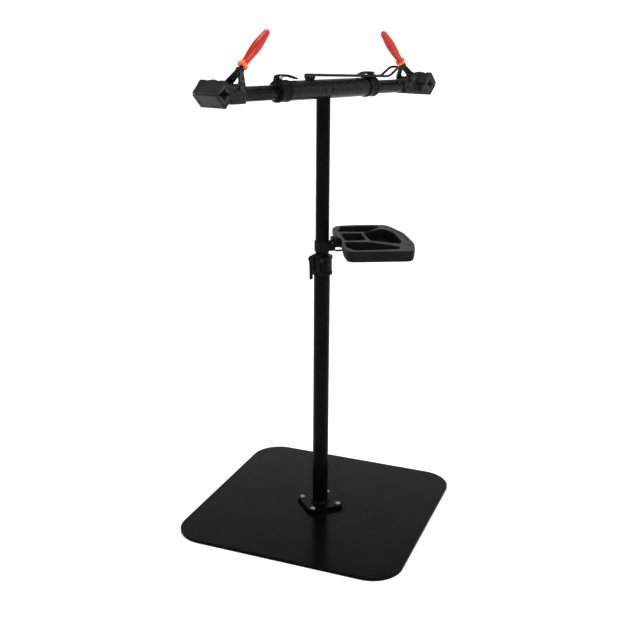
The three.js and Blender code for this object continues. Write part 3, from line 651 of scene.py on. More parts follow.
def height_clamp_band():
    low, high = span("height_clamp_band")
    bottom, top = low.z, high.z - 10
    bore_r = LOWER_R + PLAY
    waist = CLAMP_R - 1.6
    section = [(bore_r, bottom), (CLAMP_R, bottom), (CLAMP_R, bottom + 9), (waist, bottom + 11),
               (waist, top - 11), (CLAMP_R, top - 9), (CLAMP_R, top), (bore_r, top)]
    ring = lathe(section, 1.1, closed=True)
    ear_outline = [(LOWER_R, bottom + 10), (EAR_REACH - 8, bottom + 10), (EAR_REACH, bottom + 20),
                   (EAR_REACH, high.z), (LOWER_R + 3, high.z)]
    ears = slab(ear_outline, -EAR_HALF, EAR_HALF, edge=1.2, corner=4)
    waistline = [(EAR_REACH - 16, bottom + 18), (EAR_REACH - 5, bottom + 24), (EAR_REACH - 5, high.z - 26),
                 (EAR_REACH - 16, high.z - 26)]
    panels = [slab(waistline, *reach, edge=0.3, corner=2)
              for reach in both_sides(EAR_HALF - 1.4, EAR_HALF + THROUGH)]
    rib = block((-CLAMP_R - 3, -LOWER_R - 3), (-9, 9), (bottom + 6, top - 6), edge=1.5)
    boss = on_band(bar_x(7.5, CLAMP_R - 4, CLAMP_R + 0.2, edge=0.3))
    bore = bar(bore_r, bottom - THROUGH, high.z + THROUGH, ROUND)
    slit = block((0, EAR_REACH + THROUGH), (-2, 2), (bottom - THROUGH, high.z + THROUGH), edge=0.1)
    axle = bar_y(AXLE_R + PLAY, -AXLE_HALF, AXLE_HALF, x=AXLE_REACH, z=centre("height_clamp_axle").z)
    hole = on_band(bar_x(SCREW_R + PLAY, 20, 60))
    return cut(joined(ring, ears, rib, boss), bore, slit, axle, hole, *panels)


def on_band(mesh):
    """Turns what was drawn along X to the heading and height of the band's screw."""
    return moved(spun(mesh, "Z", SCREW_HEADING), z=centre("height_clamp_screw").z)


def height_clamp_axle():
    z = centre("height_clamp_axle").z
    shank = bar_y(AXLE_R, -AXLE_HALF - PLAY, 16)
    knob = along_y(lathe([(0, -24), (4.5, -24), (6, -23), (6, -20.3), (0, -20.3)], 0.4, 40))
    return moved(joined(shank, knob), AXLE_REACH, 0, z)


def height_clamp_nut():
    z = centre("height_clamp_nut").z
    seat = EAR_HALF + PLAY
    profile = [(0, seat), (7.4, seat), (7.4, 17), (5, 18), (4.4, 20), (2.4, 21), (0, 21)]
    body = along_y(lathe(profile, 0.3, 6))
    hole = bar_y(AXLE_R + PLAY, 0, 16 + PLAY)
    return moved(cut(body, hole), AXLE_REACH, 0, z)


def height_clamp_lever():
    z = centre("height_clamp_axle").z
    cam = bar_y(10, -AXLE_HALF, -EAR_HALF - PLAY, 48, edge=0.8)
    right_edge = [(-9, 0), (-6, -40)] + bezier((-6, -40), (-5, -48), (-5, -54), (-7, -60), 6)
    left_edge = [(4, -61)] + bezier((4, -61), (6, -54), (6, -46), (5, -40), 6) + [(9, 0)]
    blade = slab(right_edge + left_edge, -19.5, -12.5, edge=1.5)
    groove = slab([(-2.6, -14), (2.6, -14), (1.4, -46), (-2.2, -46)], -25, -18.4,
                  edge=0.3, corner=1.5)
    hole = bar_y(AXLE_R + PLAY, -30, -THROUGH)
    return moved(cut(joined(cam, blade), hole, groove), AXLE_REACH, 0, z)


def band_screw():
    head = [(0, LOWER_R + 0.6), (SCREW_R, LOWER_R + 0.6), (SCREW_R, CLAMP_R + 0.4), (5.5, CLAMP_R + 0.4),
            (5.5, CLAMP_R + 2.4), (4.6, CLAMP_R + 3.6), (3.2, CLAMP_R + 4), (0, CLAMP_R + 4)]
    return on_band(along_x(hex_screw(head, 0.3, 2.3, CLAMP_R + 1.6)))


def add_lower_mast():
    place = clamp_place()
    stand_ins(place, ("lower_mast_tube", lower_tube(), "mast"))
    stand_ins(MAST, ("mast_guide_bush", guide_bush(), "plastic"))
    stand_ins(place,
              ("height_clamp_band", height_clamp_band(), "dark_cast"),
              ("height_clamp_axle", height_clamp_axle(), "dark_steel"),
              ("height_clamp_nut", height_clamp_nut(), "dark_steel"),
              ("height_clamp_lever", height_clamp_lever(), "plastic"),
              ("height_clamp_screw", band_screw(), "dark_steel"))


# ---- upper mast and beam -----------------------------------------------------------------
# In the beam's frame +X runs along the beam, and the origin is the middle of the beam's axis.
UPPER_R = 20
UPPER_WALL = 3
BEAM_R = 26.5
BEAM_WALL = 2.5
BEAM_HALF = 202
BEAM_SCREWS = (-15, 15)          # where the two mast screws sit on either side of the mast
BEAM_SLOT_LENGTH = 45
DIMPLE_RISE = 42                 # degrees up round the beam from the mast screws
RIGHT_ALONG = joint_axis("arm_slide_right")
BEAM_CENTRE = sum(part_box("beam_tube"), Vector()) / 2
BEAM = upright(BEAM_CENTRE, RIGHT_ALONG)
MAST_X = -BEAM_CENTRE.dot(RIGHT_ALONG) / MM      # the mast's axis, in the beam's frame


def beam_heights(node):
    """The lowest and highest z of a CAD node, in the beam's frame."""
    return [corner.z - BEAM_CENTRE.z / MM for corner in span(node)]


def upper_tube():
    low, high = beam_heights("upper_mast_tube")
    wall = moved(tube(UPPER_R, UPPER_R - UPPER_WALL, low, high, 96, 0.6), MAST_X)
    return cut(wall, *front_bars(SCREW_R + PLAY, -UPPER_R - 1, 0))


def front_bars(radius, start, end, rise=0.0):
    """Bars into the front of the beam at its two mast screws; rise turns them up round the beam."""
    return [moved(spun(bar_y(radius, start, end), "X", -rise), MAST_X + x) for x in BEAM_SCREWS]


def mast_top_plug():
    low, high = beam_heights("mast_top_plug")
    plug = moved(bar(UPPER_R - UPPER_WALL - PLAY, low, high, ROUND, 0.8), MAST_X)
    return cut(plug, *front_bars(SCREW_R + PLAY, -UPPER_R, -2))


def glide_ring():
    low, high = beam_heights("mast_glide_ring")
    outer, inner = LOWER_R - LOWER_WALL - 0.4, UPPER_R - UPPER_WALL - PLAY
    step = low + 18 - PLAY
    section = [(12, low), (outer, low), (outer, step), (inner, step), (inner, high), (12, high)]
    return moved(lathe(section, 0.5, closed=True), MAST_X)


def beam_screw(x):
    front = BEAM_R + 0.1
    profile = [(0, 3), (SCREW_R, 3), (SCREW_R, front), (5.2, front), (5.2, front + 1.6), (4.2, front + 3),
               (0, front + 3)]
    return moved(spun(hex_screw(profile, 0.4, 2.4, front + 1), "X", 90), MAST_X + x)


def beam_tube():
    wall = along_x(tube(BEAM_R, BEAM_R - BEAM_WALL, -BEAM_HALF, BEAM_HALF, 96, 0.9))
    mast_hole = moved(bar(UPPER_R + PLAY, -BEAM_R - THROUGH, 0, ROUND), MAST_X)
    slots = [block(reach, (-1.5, 1.5), (15, BEAM_R + 2), edge=0.2)
             for reach in both_sides(BEAM_HALF - BEAM_SLOT_LENGTH, BEAM_HALF + THROUGH)]
    dimples = front_bars(4, -BEAM_R - THROUGH, -BEAM_R + 1.2, DIMPLE_RISE)
    return cut(wall, mast_hole, *front_bars(SCREW_R + PLAY, -BEAM_R - 2, -BEAM_R / 2), *slots, *dimples)


def mast_seam():
    """The weld where the mast's top meets the underside of the beam, as a thin bead."""
    points = []
    for turn in (math.tau * i / 96 for i in range(96)):
        x, y = (UPPER_R + 1.0) * math.cos(turn), (UPPER_R + 1.0) * math.sin(turn)
        points.append((MAST_X + x, y, -math.sqrt(BEAM_R ** 2 - y ** 2)))
    return swept(points, 1.3, 12, closed=True)


# ---- wire hanger -------------------------------------------------------------------------
HANGER_R = 3.6
HANGER_HALF_W = 16
HANGER_X = -73
HANGER_Z = 30.6


def hanger_bracket():
    body = block((HANGER_X - 8, HANGER_X + 8), (-11, 11), (18, HANGER_Z + 5.5), edge=1.6)
    saddle = bar_x(BEAM_R + PLAY, HANGER_X - 20, HANGER_X + 20, ROUND)
    hole = bar_y(HANGER_R + PLAY, -15, 15, x=HANGER_X, z=HANGER_Z)
    return cut(body, saddle, hole)


def wire_hanger():
    half = [(0, 0, 0), (0, HANGER_HALF_W, 0), (0, HANGER_HALF_W, 9), (340, HANGER_HALF_W, -2.5),
            (388, HANGER_HALF_W, 24)]
    other_half = [(x, -y, z) for x, y, z in reversed(half[1:])]
    path = softened(half + other_half, 14, steps=10, closed=True)
    return moved(swept(path, HANGER_R, 24, closed=True), HANGER_X, 0, HANGER_Z)


# ---- telescoping arms --------------------------------------------------------------------
# Both arms are drawn pointing along +X, from the middle of the beam.
ARM_R = 15
ARM_WALL = 2.5
ARM_Z = -7
ARM_INNER_END = 108
RAIL_OUTER_END = 322
RAIL_LOW = 12.5
RAIL_HIGH = 17
RAIL_HALF = 7
COLLAR_R = 29.5
COLLAR_NEAR = 167
COLLAR_FAR = 207
LOCK_X = 200
LOCK_Z = 36.5
LOCK_PIN_R = 3
HEAD_X = 432


def arm_place(label):
    return upright(BEAM_CENTRE, joint_axis(f"arm_slide_{label}"))


def extension(label):
    """How far the photographed arm is pulled out, in millimetres."""
    reach = (joint_place(f"clamp_roll_{label}") - BEAM_CENTRE).dot(joint_axis(f"arm_slide_{label}"))
    return reach / MM - HEAD_X


def arm_bush():
    sleeve = bar_x(BEAM_R - BEAM_WALL - PLAY, BEAM_HALF - 42, BEAM_HALF + PLAY, ROUND)
    lip = bar_x(BEAM_R, BEAM_HALF + PLAY, BEAM_HALF + 4, ROUND, edge=1.2)
    bore = bar_x(ARM_R + PLAY, BEAM_HALF - 50, BEAM_HALF + 10, ROUND, z=ARM_Z)
    keyway = block((BEAM_HALF - 50, BEAM_HALF + 10), (-RAIL_HALF - PLAY, RAIL_HALF + PLAY),
                   (ARM_Z, RAIL_HIGH + PLAY), edge=0.3)
    return cut(joined(sleeve, lip), bore, keyway)


def arm_collar():
    bore_r = BEAM_R + PLAY
    waist = COLLAR_R - 1.2
    section = [(bore_r, COLLAR_NEAR), (COLLAR_R, COLLAR_NEAR), (COLLAR_R, COLLAR_NEAR + 8),
               (waist, COLLAR_NEAR + 9.5), (waist, COLLAR_FAR - 9.5), (COLLAR_R, COLLAR_FAR - 8),
               (COLLAR_R, COLLAR_FAR), (bore_r, COLLAR_FAR)]
    ring = along_x(lathe(section, 0.9, closed=True))
    lug_outline = [(LOCK_X - 15, 22), (LOCK_X + 15, 22), (LOCK_X + 10, LOCK_Z + 1), (LOCK_X + 5, LOCK_Z + 4),
                   (LOCK_X - 6, LOCK_Z + 4), (LOCK_X - 12, LOCK_Z)]
    lug = slab(lug_outline, -5.5, 5.5, edge=0.7, corner=2.5)
    bore = bar_x(bore_r, COLLAR_NEAR - THROUGH, COLLAR_FAR + THROUGH, ROUND)
    slit = block((COLLAR_NEAR - THROUGH, COLLAR_FAR + THROUGH), (-1, 1), (10, LOCK_Z + 10), edge=0.1)
    pin_hole = bar_y(LOCK_PIN_R + PLAY, -8, 8, x=LOCK_X, z=LOCK_Z)
    return cut(joined(ring, lug), bore, slit, pin_hole)


def rivet(radius, head, half, x, z):
    """A pin along Y with a flat round head at each end."""
    neck = half - 2
    corners = [(0, -half), (head, -half), (head, -neck), (radius, -neck), (radius, neck), (head, neck),
               (head, half), (0, half)]
    return moved(along_y(lathe(corners, 0.5, 40)), x, 0, z)


def arm_lock_lever():
    tip = (LOCK_X - 71, LOCK_Z - 7)
    top = bezier((LOCK_X, LOCK_Z + 6), (LOCK_X - 30, 48), (LOCK_X - 56, 38), (LOCK_X - 70, LOCK_Z - 3.5), 16)
    under = bezier(tip, (LOCK_X - 54, 34), (LOCK_X - 31, 40), (LOCK_X - 12, LOCK_Z), 12)
    outline = top + [tip] + under + [(LOCK_X - 4, LOCK_Z - 4.5)]
    outline += arc(6, LOCK_X, LOCK_Z, range(-90, 90, 15))
    blade = slab(outline, -9.5, 9.5, edge=1.3)
    fork = block((LOCK_X - 15, LOCK_X + 15), (-5.9, 5.9), (20, 60), edge=0.4)
    window = prism(rectangle(LOCK_X - 56, -4.5, LOCK_X - 31, 4.5), 20, 60, edge=0.2, corner=3.5)
    pin_hole = bar_y(LOCK_PIN_R + PLAY, -12, 12, x=LOCK_X, z=LOCK_Z)
    return cut(blade, fork, window, pin_hole)


def arm_tube():
    end = HEAD_X - 60.5
    return moved(along_x(tube(ARM_R, ARM_R - ARM_WALL, ARM_INNER_END, end, 80, 0.7)), z=ARM_Z)


def arm_rail():
    strip = block((ARM_INNER_END, RAIL_OUTER_END), (-RAIL_HALF, RAIL_HALF), (RAIL_LOW, RAIL_HIGH), edge=0.9)
    feet = [block((x, x + 10), (-RAIL_HALF, RAIL_HALF), (4, RAIL_LOW + 1.5), edge=0.6)
            for x in (ARM_INNER_END, RAIL_OUTER_END - 10)]
    web = block((ARM_INNER_END, RAIL_OUTER_END), (-2.5, 2.5), (4, RAIL_LOW + 1), edge=0.3)
    saddle = bar_x(ARM_R + PLAY, 0, HEAD_X, ROUND, z=ARM_Z)
    dimple = moved(bar(2.6, RAIL_HIGH - 1.2, RAIL_HIGH + THROUGH, edge=0.1), RAIL_OUTER_END - 6)
    return cut(joined(strip, web, *feet), saddle, dimple)


# ---- jaw clamps --------------------------------------------------------------------------
# In a head's frame +X points away from the mast along the arm's axis, and Y runs through the jaws.
JAW_LIFT = 9
JAW_HALF_W = 30
JAW_HALF_H = 34
JAW_HALF_L = 43
JAW_BLUNT = 3.4                  # how far the diamond's corners are cut back
CHANNEL_HALF_W = 23
CHANNEL_HALF_H = 26
PART_LINE = 0.4
STAR_HALF_H = 17.5
LOBE = 5.5
HINGE_X, HINGE_Z = -38, 14       # the pin that the upper jaw turns on
HINGE_PIN_R = 3
PIVOT_X, PIVOT_Z = -72, 24       # the pin that the lever turns on
PIVOT_PIN_R = 3.5
CLAMP_BOLT_R = 4
CLAMP_BOLT_Z = -4
NECK_X, NECK_Z = -96, 69
BLOCK_HALF = 18.5
SET_SCREW_X = -84
HANDLE_LENGTH = 138
HANDLE_LEAN = 47.5
PRONG_IN = 22
PRONG_OUT = 27.5
TANG_R = 5
EYE_R = 9
PLATE_HALF = 12
NECK_HALF = 7
NECK_WIDTH = 9
FLARE_TOP = 15                   # where the flare, painted orange as a highlight, ends and the red grip begins
RIDGE_SOCKETS = (-21, 21)        # where the cap screws sit along a jaw
SOCKET_R = 7.5
SOCKET_DEPTH = 6.5


def head_place(label):
    roll = f"clamp_roll_{label}"
    return in_millimetres(joint_place(roll), joint_axis(roll), joint_axis(f"jaw_{label}"))


def jaw_outline(up):
    """Half of the diamond of one jaw, before its V channel is cut; up is 1 or -1."""
    corners = [(-JAW_HALF_W, PART_LINE), (-JAW_HALF_W, JAW_BLUNT), (-JAW_BLUNT, JAW_HALF_H),
               (JAW_BLUNT, JAW_HALF_H), (JAW_HALF_W, JAW_BLUNT), (JAW_HALF_W, PART_LINE)]
    return softened([(x, JAW_LIFT + up * z) for x, z in corners], 1.2, closed=True)


def waist_tools(up):
    """Shallow hollows in the two outer faces of a jaw, which leave raised rims at its ends."""
    tools = []
    slope = math.degrees(math.atan2(JAW_HALF_H - JAW_BLUNT, JAW_HALF_W - JAW_BLUNT))
    reach = math.hypot(JAW_HALF_H - JAW_BLUNT, JAW_HALF_W - JAW_BLUNT)
    for side in (-1, 1):
        panel = prism(rectangle(-reach / 2 + 4.5, -JAW_HALF_L + 9, reach / 2 - 4.5, JAW_HALF_L - 9),
                      -1.1, THROUGH, edge=0.8, corner=4)
        spun(panel, "Y", side * slope if up > 0 else side * (180 - slope))
        middle_x = side * (JAW_HALF_W + JAW_BLUNT) / 2
        tools.append(moved(panel, middle_x, 0, JAW_LIFT + up * (JAW_HALF_H + JAW_BLUNT) / 2))
    return tools


def jaw_channel():
    """The tool for the V channel, flared at both ends so that the channel's rim is bevelled."""
    corners = [(-CHANNEL_HALF_W, 0), (0, -CHANNEL_HALF_H), (CHANNEL_HALF_W, 0), (0, CHANNEL_HALF_H)]
    outline = [Vector((x, JAW_LIFT + z)) for x, z in corners]
    bevel = 0.8
    return along_y(stacked(outline, [(-bevel, -JAW_HALF_L - THROUGH), (-bevel, -JAW_HALF_L),
                                     (0, bevel - JAW_HALF_L), (0, JAW_HALF_L - bevel),
                                     (-bevel, JAW_HALF_L), (-bevel, JAW_HALF_L + THROUGH)]))


def upper_jaw():
    body = slab(jaw_outline(1), -JAW_HALF_L, JAW_HALF_L, edge=0.6)
    knuckle = bar_y(7, -8, 8, 48, edge=0.6, x=HINGE_X, z=HINGE_Z)
    web_outline = [(HINGE_X, HINGE_Z + 7), (HINGE_X + 1, HINGE_Z - 4), (-27, HINGE_Z), (-20, 24), (-14, 30)]
    web = slab(web_outline, -8, 8, edge=0.6)
    top = JAW_LIFT + JAW_HALF_H
    dome_profile = [(0, 20), (9, 20), (9, top - 1), (7, top + 0.9), (3, top + 1.5), (0, top + 1.5)]
    dome = moved(lathe(dome_profile, 1.2, 48), -2)
    sockets = [moved(bar(SOCKET_R, top - SOCKET_DEPTH, top + THROUGH, 48, edge=0.3), 0, y)
               for y in RIDGE_SOCKETS]
    hinge = bar_y(HINGE_PIN_R + PLAY, -20, 20, x=HINGE_X, z=HINGE_Z)
    shell = cut(body, *waist_tools(1))
    return cut(joined(shell, knuckle, web, dome), hinge, jaw_channel(), *sockets)


def lower_jaw():
    body = cut(slab(jaw_outline(-1), -JAW_HALF_L, JAW_HALF_L, edge=0.6), *waist_tools(-1))
    web_outline = [(-46, HINGE_Z - 8), (-46, -15), (-6, -15), (-24, HINGE_Z - 8)]
    web = slab(web_outline, -17, 17, edge=1.0, corner=1.2)
    hole = bar_x(CLAMP_BOLT_R + PLAY, -50, -34, z=CLAMP_BOLT_Z)
    return cut(joined(body, web), jaw_channel(), hole)


def ridge_screws():
    """The cap screws that sit in the two sockets of an upper jaw's ridge."""
    top = JAW_LIFT + JAW_HALF_H - SOCKET_DEPTH
    heads = []
    for y in RIDGE_SOCKETS:
        profile = [(0, top), (4.4, top), (4.4, top + 2.2), (3.6, top + 2.8), (0, top + 2.8)]
        heads.append(moved(hex_screw(profile, 0.3, 2, top + 1, ROUND), 0, y))
    return joined(*heads)


def jaw_pad(up):
    """A rubber lining whose lobes leave half of a four-pointed opening, grooved across."""
    w, h = CHANNEL_HALF_W - 0.5, CHANNEL_HALF_H - 0.6
    foot = PART_LINE / 4
    points = [Vector((w, foot)), Vector((0, h)), Vector((-w, foot)), Vector((-w + 2, foot))]
    points += curve((-w + 2, foot), (-LOBE, LOBE), (0, STAR_HALF_H), 12)
    points += curve((0, STAR_HALF_H), (LOBE, LOBE), (w - 2, foot), 12)
    outline = [Vector((p.x, JAW_LIFT + up * p.y)) for p in points]
    body = slab(outline, -42, 42, edge=0.35)
    teeth = [(-LOBE * 2.4, JAW_LIFT), (LOBE * 2.4, JAW_LIFT), (0, JAW_LIFT + up * (STAR_HALF_H + 1))]
    grooves = [slab(teeth, 6 * i - 0.5, 6 * i + 0.5, edge=0.1) for i in range(-6, 7)]
    return cut(body, *grooves)


def clamp_block():
    socket_block = block((-98, -46 - PLAY), (-BLOCK_HALF, BLOCK_HALF), (-BLOCK_HALF, 16.5), edge=3.0)
    lug_outline = [(PIVOT_X - 14, 8), (PIVOT_X + 14, 8)] + arc(8, PIVOT_X, PIVOT_Z, range(0, 181, 12))
    lug = slab(lug_outline, -21, 21, edge=1.2)
    ears = []
    for reach in both_sides(8.4, 17):
        ears.append(bar_y(7.5, *reach, 48, edge=0.8, x=HINGE_X, z=HINGE_Z))
        ears.append(block((-52, HINGE_X), reach, (HINGE_Z - 7, HINGE_Z + 7), edge=0.8))
    panels = [block((-90, -56), reach, (-11, 6), edge=0.8) for reach in both_sides(BLOCK_HALF - 1.2, 24)]
    bore = bar_x(ARM_R + PLAY, -110, -60, ROUND)
    holes = [bar_y(PIVOT_PIN_R + PLAY, -30, 30, x=PIVOT_X, z=PIVOT_Z),
             bar_y(HINGE_PIN_R + PLAY, -20, 20, x=HINGE_X, z=HINGE_Z),
             bar_x(CLAMP_BOLT_R + PLAY, -58, -40, z=CLAMP_BOLT_Z),
             bar_y(SCREW_R + PLAY, -24, -ARM_R / 2, x=SET_SCREW_X)]
    return cut(joined(cut(socket_block, *panels), lug, *ears), bore, *holes)


def clamp_set_screw():
    seat = BLOCK_HALF + PLAY
    head = [(0, seat), (5, seat), (5, seat + 2.4), (4, seat + 3), (0, seat + 3)]
    shank = [(0, ARM_R + PLAY), (SCREW_R, ARM_R + PLAY), (SCREW_R, seat + 0.6), (0, seat + 0.6)]
    screw = joined(lathe(head, 0.3, 40), lathe(shank, 0.2, 40))
    return moved(spun(cut(screw, bar(2.3, seat + 1.2, seat + 5, 6, edge=0.05)), "X", 90), SET_SCREW_X)


def clamp_lever():
    """A forked steel lever: two flat plates that close in on a neck, and a tang for the grip."""
    length = math.hypot(NECK_X - PIVOT_X, NECK_Z - PIVOT_Z)
    lean = math.degrees(math.atan2(NECK_X - PIVOT_X, NECK_Z - PIVOT_Z))
    right = [(4, length - 16), (PRONG_IN, 10), (PRONG_IN, 0), (PRONG_OUT, 0), (PRONG_OUT, 11),
             (NECK_WIDTH, length - 8), (NECK_WIDTH, length + 1)]
    left = [(-y, height) for y, height in reversed(right)]
    front = spun(spun(prism(right + left, -PLATE_HALF, PLATE_HALF, edge=0.8, corner=3), "X", 90), "Z", 90)
    taper = [(PLATE_HALF, 0), (PLATE_HALF, 8), (NECK_HALF, length - 8), (NECK_HALF, length + 1)]
    across = PRONG_OUT + THROUGH
    side = slab(taper + [(-x, z) for x, z in reversed(taper)], -across, across, edge=0.5, corner=1.5)
    window = slab([(-2.6, 18), (2.6, 18), (1.8, 30), (-1.8, 30)], -across, across, edge=0.2, corner=1.5)
    eyes = [bar_y(EYE_R, *reach, 48, edge=0.9) for reach in both_sides(PRONG_IN, PRONG_OUT)]
    plates = cut(joined(overlap(front, side), *eyes), window)
    moved(spun(plates, "Y", lean), PIVOT_X, 0, PIVOT_Z)
    tang = on_handle(bar(TANG_R, -3, 60, 40))
    pin_hole = bar_y(PIVOT_PIN_R + PLAY, -40, 40, x=PIVOT_X, z=PIVOT_Z)
    return cut(joined(plates, tang), pin_hole)


def on_handle(mesh):
    """Places a mesh drawn upright on the origin along the handle."""
    return moved(spun(mesh, "Y", -HANDLE_LEAN), NECK_X, 0, NECK_Z)


def lever_grip():
    profile = [(0, FLARE_TOP), (12.2, FLARE_TOP), (10.6, 19), (10, 23), (10.4, 32), (12, 45), (13.2, 60),
               (14, 75), (14, 86), (13.2, 97), (11.8, 108), (10.6, 118), (9.9, 127), (8.2, 133),
               (5.4, 136.8), (2, HANDLE_LENGTH), (0, HANDLE_LENGTH)]
    body = turned(softened(profile, 2.2, steps=2), 64)
    hang_hole = moved(spun(bar(2.6, -20, 20), "Y", 90), 0, 0, 127)
    seams = [swept([(0, side * (r + 0.02), z) for r, z in profile[3:-3]], 0.45, 8) for side in (-1, 1)]
    return on_handle(cut(joined(body, *seams), bar(TANG_R + PLAY, 0, 62), hang_hole))


# The flared foot of the grip; its orange colour is a painted highlight of the red vinyl.
def grip_flare():
    bore_r = TANG_R + PLAY
    profile = [(bore_r, 6), (12.2, 6), (14.2, 7.6), (15, 10.4), (13.4, FLARE_TOP), (bore_r, FLARE_TOP)]
    return on_handle(lathe(profile, 1.0, 64, closed=True))


def add_head(label):
    place, side = head_place(label), "_" + label
    stand_ins(
        place,
        ("clamp_block", clamp_block(), "cast"),
        ("clamp_bolt", bar_x(CLAMP_BOLT_R, -57, -34.5, z=CLAMP_BOLT_Z), "zinc"),
        ("clamp_set_screw", clamp_set_screw(), "dark_steel"),
        ("lower_jaw", lower_jaw(), "cast"),
        ("lower_pad", jaw_pad(-1), "rubber"),
        ("jaw_hinge_pin", rivet(HINGE_PIN_R, 5, 19.5, HINGE_X, HINGE_Z), "dull_zinc"),
        ("lever_pin", rivet(PIVOT_PIN_R, 6, 30, PIVOT_X, PIVOT_Z), "dull_zinc"),
        ("upper_jaw", upper_jaw(), "cast"),
        side=side)
    add_piece("ridge_screws" + side, ridge_screws(), place, "dark_steel", "upper_jaw" + side)
    stand_ins(
        place,
        ("upper_pad", jaw_pad(1), "rubber"),
        ("clamp_lever", clamp_lever(), "dark_steel"),
        ("lever_grip", lever_grip(), "red"),
        side=side)
    # The flare gets the orange finish, which is a painted highlight of the red grip.
    add_piece("grip_flare" + side, grip_flare(), place, "painted_highlight", "lever_grip" + side)


def add_arm(label):
    pulled_out = extension(label)
    stand_ins(
        arm_place(label),
        ("arm_bush", arm_bush(), "plastic"),
        ("arm_collar", arm_collar(), "dark_cast"),
        ("arm_lock_pin", rivet(LOCK_PIN_R, 4.6, 12, LOCK_X, LOCK_Z), "zinc"),
        ("arm_lock_lever", arm_lock_lever(), "plastic"),
        ("arm_tube", moved(arm_tube(), pulled_out), "powder"),
        ("arm_rail", moved(arm_rail(), pulled_out), "dark_steel"),
        side="_" + label)


def add_upper_mast():
    stand_ins(BEAM,
              ("mast_glide_ring", glide_ring(), "plastic"),
              ("upper_mast_tube", upper_tube(), "mast"),
              ("mast_top_plug", mast_top_plug(), "plastic"))
    for i, x in enumerate(BEAM_SCREWS):
        stand_ins(BEAM, (f"beam_screw_{i + 1}", beam_screw(x), "dark_steel"))
    stand_ins(BEAM, ("beam_tube", beam_tube(), "powder"))
    add_piece("mast_seam", mast_seam(), BEAM, "powder", "beam_tube")
    stand_ins(BEAM,
              ("hanger_bracket", hanger_bracket(), "dark_cast"),
              ("wire_hanger", wire_hanger(), "powder"))
    for label in ("left", "right"):
        add_arm(label)
        add_head(label)


# ---- tray --------------------------------------------------------------------------------
# In the tray's frame +X points from the mast to the middle of the tray, and Z is counted from the floor.
TRAY_BACK_PLATE = 53
TRAY_FLOOR = 3
BAND_SCREW_X = 29
BAND_SCREW_R = 2.5
BAND_R = UPPER_R + PLAY


def tray_place():
    x_axis = (centre("tray_band_screw") * Vector((1, 1, 0))).normalized()
    return upright(Vector(), x_axis)


TRAY_CORNERS = [(44, -175), (236, -183), (258, -80), (260, 70), (232, 199), (150, 206), (66, 198), (46, 130),
                (54, 45), (54, -32), (44, -90)]


def pocket(corners, floor, top):
    """A tool for a tray pocket: a rounded foot, leaning walls and a rounded rim."""
    outline = softened(corners, 9, steps=5, closed=True)
    return stacked(outline, [(4.2, floor), (2.2, floor + 0.7), (1.2, floor + 2.6), (0.2, top - 1.6),
                             (-0.4, top - 0.5), (-1.4, top + 0.02), (-1.4, top + THROUGH)])


def far_edge(outline, y):
    """Where the far side of the tray is at a y, and which way it runs there."""
    for a, b in zip(outline, outline[1:]):
        if a.x > 2 * TRAY_BACK_PLATE and min(a.y, b.y) <= y < max(a.y, b.y):
            share = (y - a.y) / (b.y - a.y)
            return a.lerp(b, share), (b - a).normalized()
    raise ValueError(f"the tray's far side doesn't reach y = {y}")


def tool_slots(outline, top):
    """The row of slots for screwdrivers and keys in the tray's far rim."""
    tools = []
    for y in range(-34, 150, 28):
        edge, along = far_edge(outline, y)
        middle = edge + Vector((-along.y, along.x)) * 11
        slot = softened(rectangle(-8, -2.4, 8, 2.4), 2.2, steps=5, closed=True)
        tool = stacked(slot, [(0.6, top - 14), (0, top - 13), (0, top - 0.8), (-0.8, top + 0.02),
                              (-0.8, top + 4)])
        spun(tool, "Z", math.degrees(math.atan2(along.y, along.x)))
        tools.append(moved(tool, *middle))
    return tools


TRAY_POCKETS = {
    "back": [(60, 105), (68, 135), (84, 184), (192, 184), (202, 162), (150, 92)],
    "middle": [(68, 76), (128, 76), (128, -22), (64, -26)],
    "front": [(58, -44), (134, -54), (206, -122), (200, -150), (72, -158), (54, -110)],
    "large": [(136, 76), (196, 132), (212, 130), (229, 73), (228, -40), (216, -86), (138, -34)],
}


def tray_body():
    low, high = span("tray_body")
    outline = softened(TRAY_CORNERS, 27, steps=8, closed=True)
    body = stacked(outline, [(9, low.z), (5.4, low.z + 1), (3.4, low.z + 3.6), (2, low.z + 9),
                             (0.4, high.z - 7), (0, high.z - 2), (0.5, high.z - 0.6), (1.8, high.z)])
    pockets = [pocket(corners, low.z + TRAY_FLOOR, high.z) for corners in TRAY_POCKETS.values()]
    hole = moved(bar(6, low.z - THROUGH, high.z + THROUGH, 40), 237, -101)
    return cut(body, *pockets, hole, *tool_slots(outline, high.z))


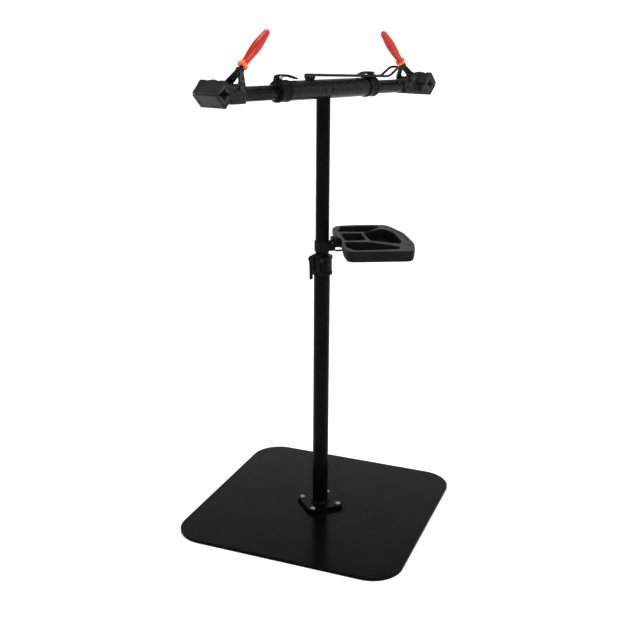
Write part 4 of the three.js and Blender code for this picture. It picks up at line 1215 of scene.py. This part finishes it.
def tray_band():
    low, high = span("tray_band")
    ring = tube(BAND_R + 3, BAND_R, low.z, high.z, edge=0.8)
    lug = block((18, 34), (-10, 10), (low.z, high.z), edge=1.2)
    bore = bar(BAND_R, low.z - THROUGH, high.z + THROUGH, ROUND)
    slit = block((10, 40), (-1.5, 1.5), (low.z - THROUGH, high.z + THROUGH), edge=0.1)
    hole = bar_y(BAND_SCREW_R + PLAY, -20, 20, x=BAND_SCREW_X, z=centre("tray_band_screw").z)
    return cut(joined(ring, lug), bore, slit, hole)


def tray_band_screw():
    z = centre("tray_band_screw").z
    shank = bar_y(BAND_SCREW_R, -12, 12, edge=0.2)
    head = hex_screw([(0, 10.3), (4.5, 10.3), (4.5, 12), (3.4, 13), (0, 13)], 0.3, 1.9, 11.6)
    nut = along_y(lathe([(0, 10.3), (4.5, 10.3), (4.5, 12.6), (4, 13), (0, 13)], 0.2, 6))
    return moved(joined(shank, spun(head, "X", 90), nut), BAND_SCREW_X, 0, z)


def tray_bracket():
    low, high = span("tray_bracket")
    outline = softened(rectangle(-26, low.z, 26, high.z), 5, steps=5, closed=True)
    plate = along_x(prism(outline, TRAY_BACK_PLATE - 4, TRAY_BACK_PLATE, edge=0.8))
    cheeks = [block((26, TRAY_BACK_PLATE - 2.5), reach, (low.z, high.z), edge=0.8)
              for reach in both_sides(10 + PLAY, 16)]
    ring = bar(BAND_R + 3 + PLAY, low.z - THROUGH, high.z + THROUGH, ROUND)
    clearance = bar_y(6, -20, 20, x=BAND_SCREW_X, z=centre("tray_band_screw").z)
    return cut(joined(plate, *cheeks), ring, clearance)


def tray_wire():
    top = span("tray_body")[1].z
    root, low, reach = 37, top - 35, 80
    under = span("tray_body")[0].z - 1.8
    corners = [(root, -6, low + 13), (root, -6, low), (reach, -6, under), (reach, 6, under), (root, 6, low),
               (root, 6, low + 13)]
    return swept(softened(corners, 4, steps=6), 1.5, 16)


def add_tray():
    stand_ins(tray_place(),
              ("tray_body", tray_body(), "plastic"),
              ("tray_band", tray_band(), "dark_cast"),
              ("tray_band_screw", tray_band_screw(), "dull_zinc"),
              ("tray_bracket", tray_bracket(), "dark_cast"),
              ("tray_wire", tray_wire(), "dark_steel"))


# ---- the whole scene ---------------------------------------------------------------------
add_camera()
add_floor()
add_light()
add_foot()
add_lower_mast()
add_upper_mast()
add_tray()
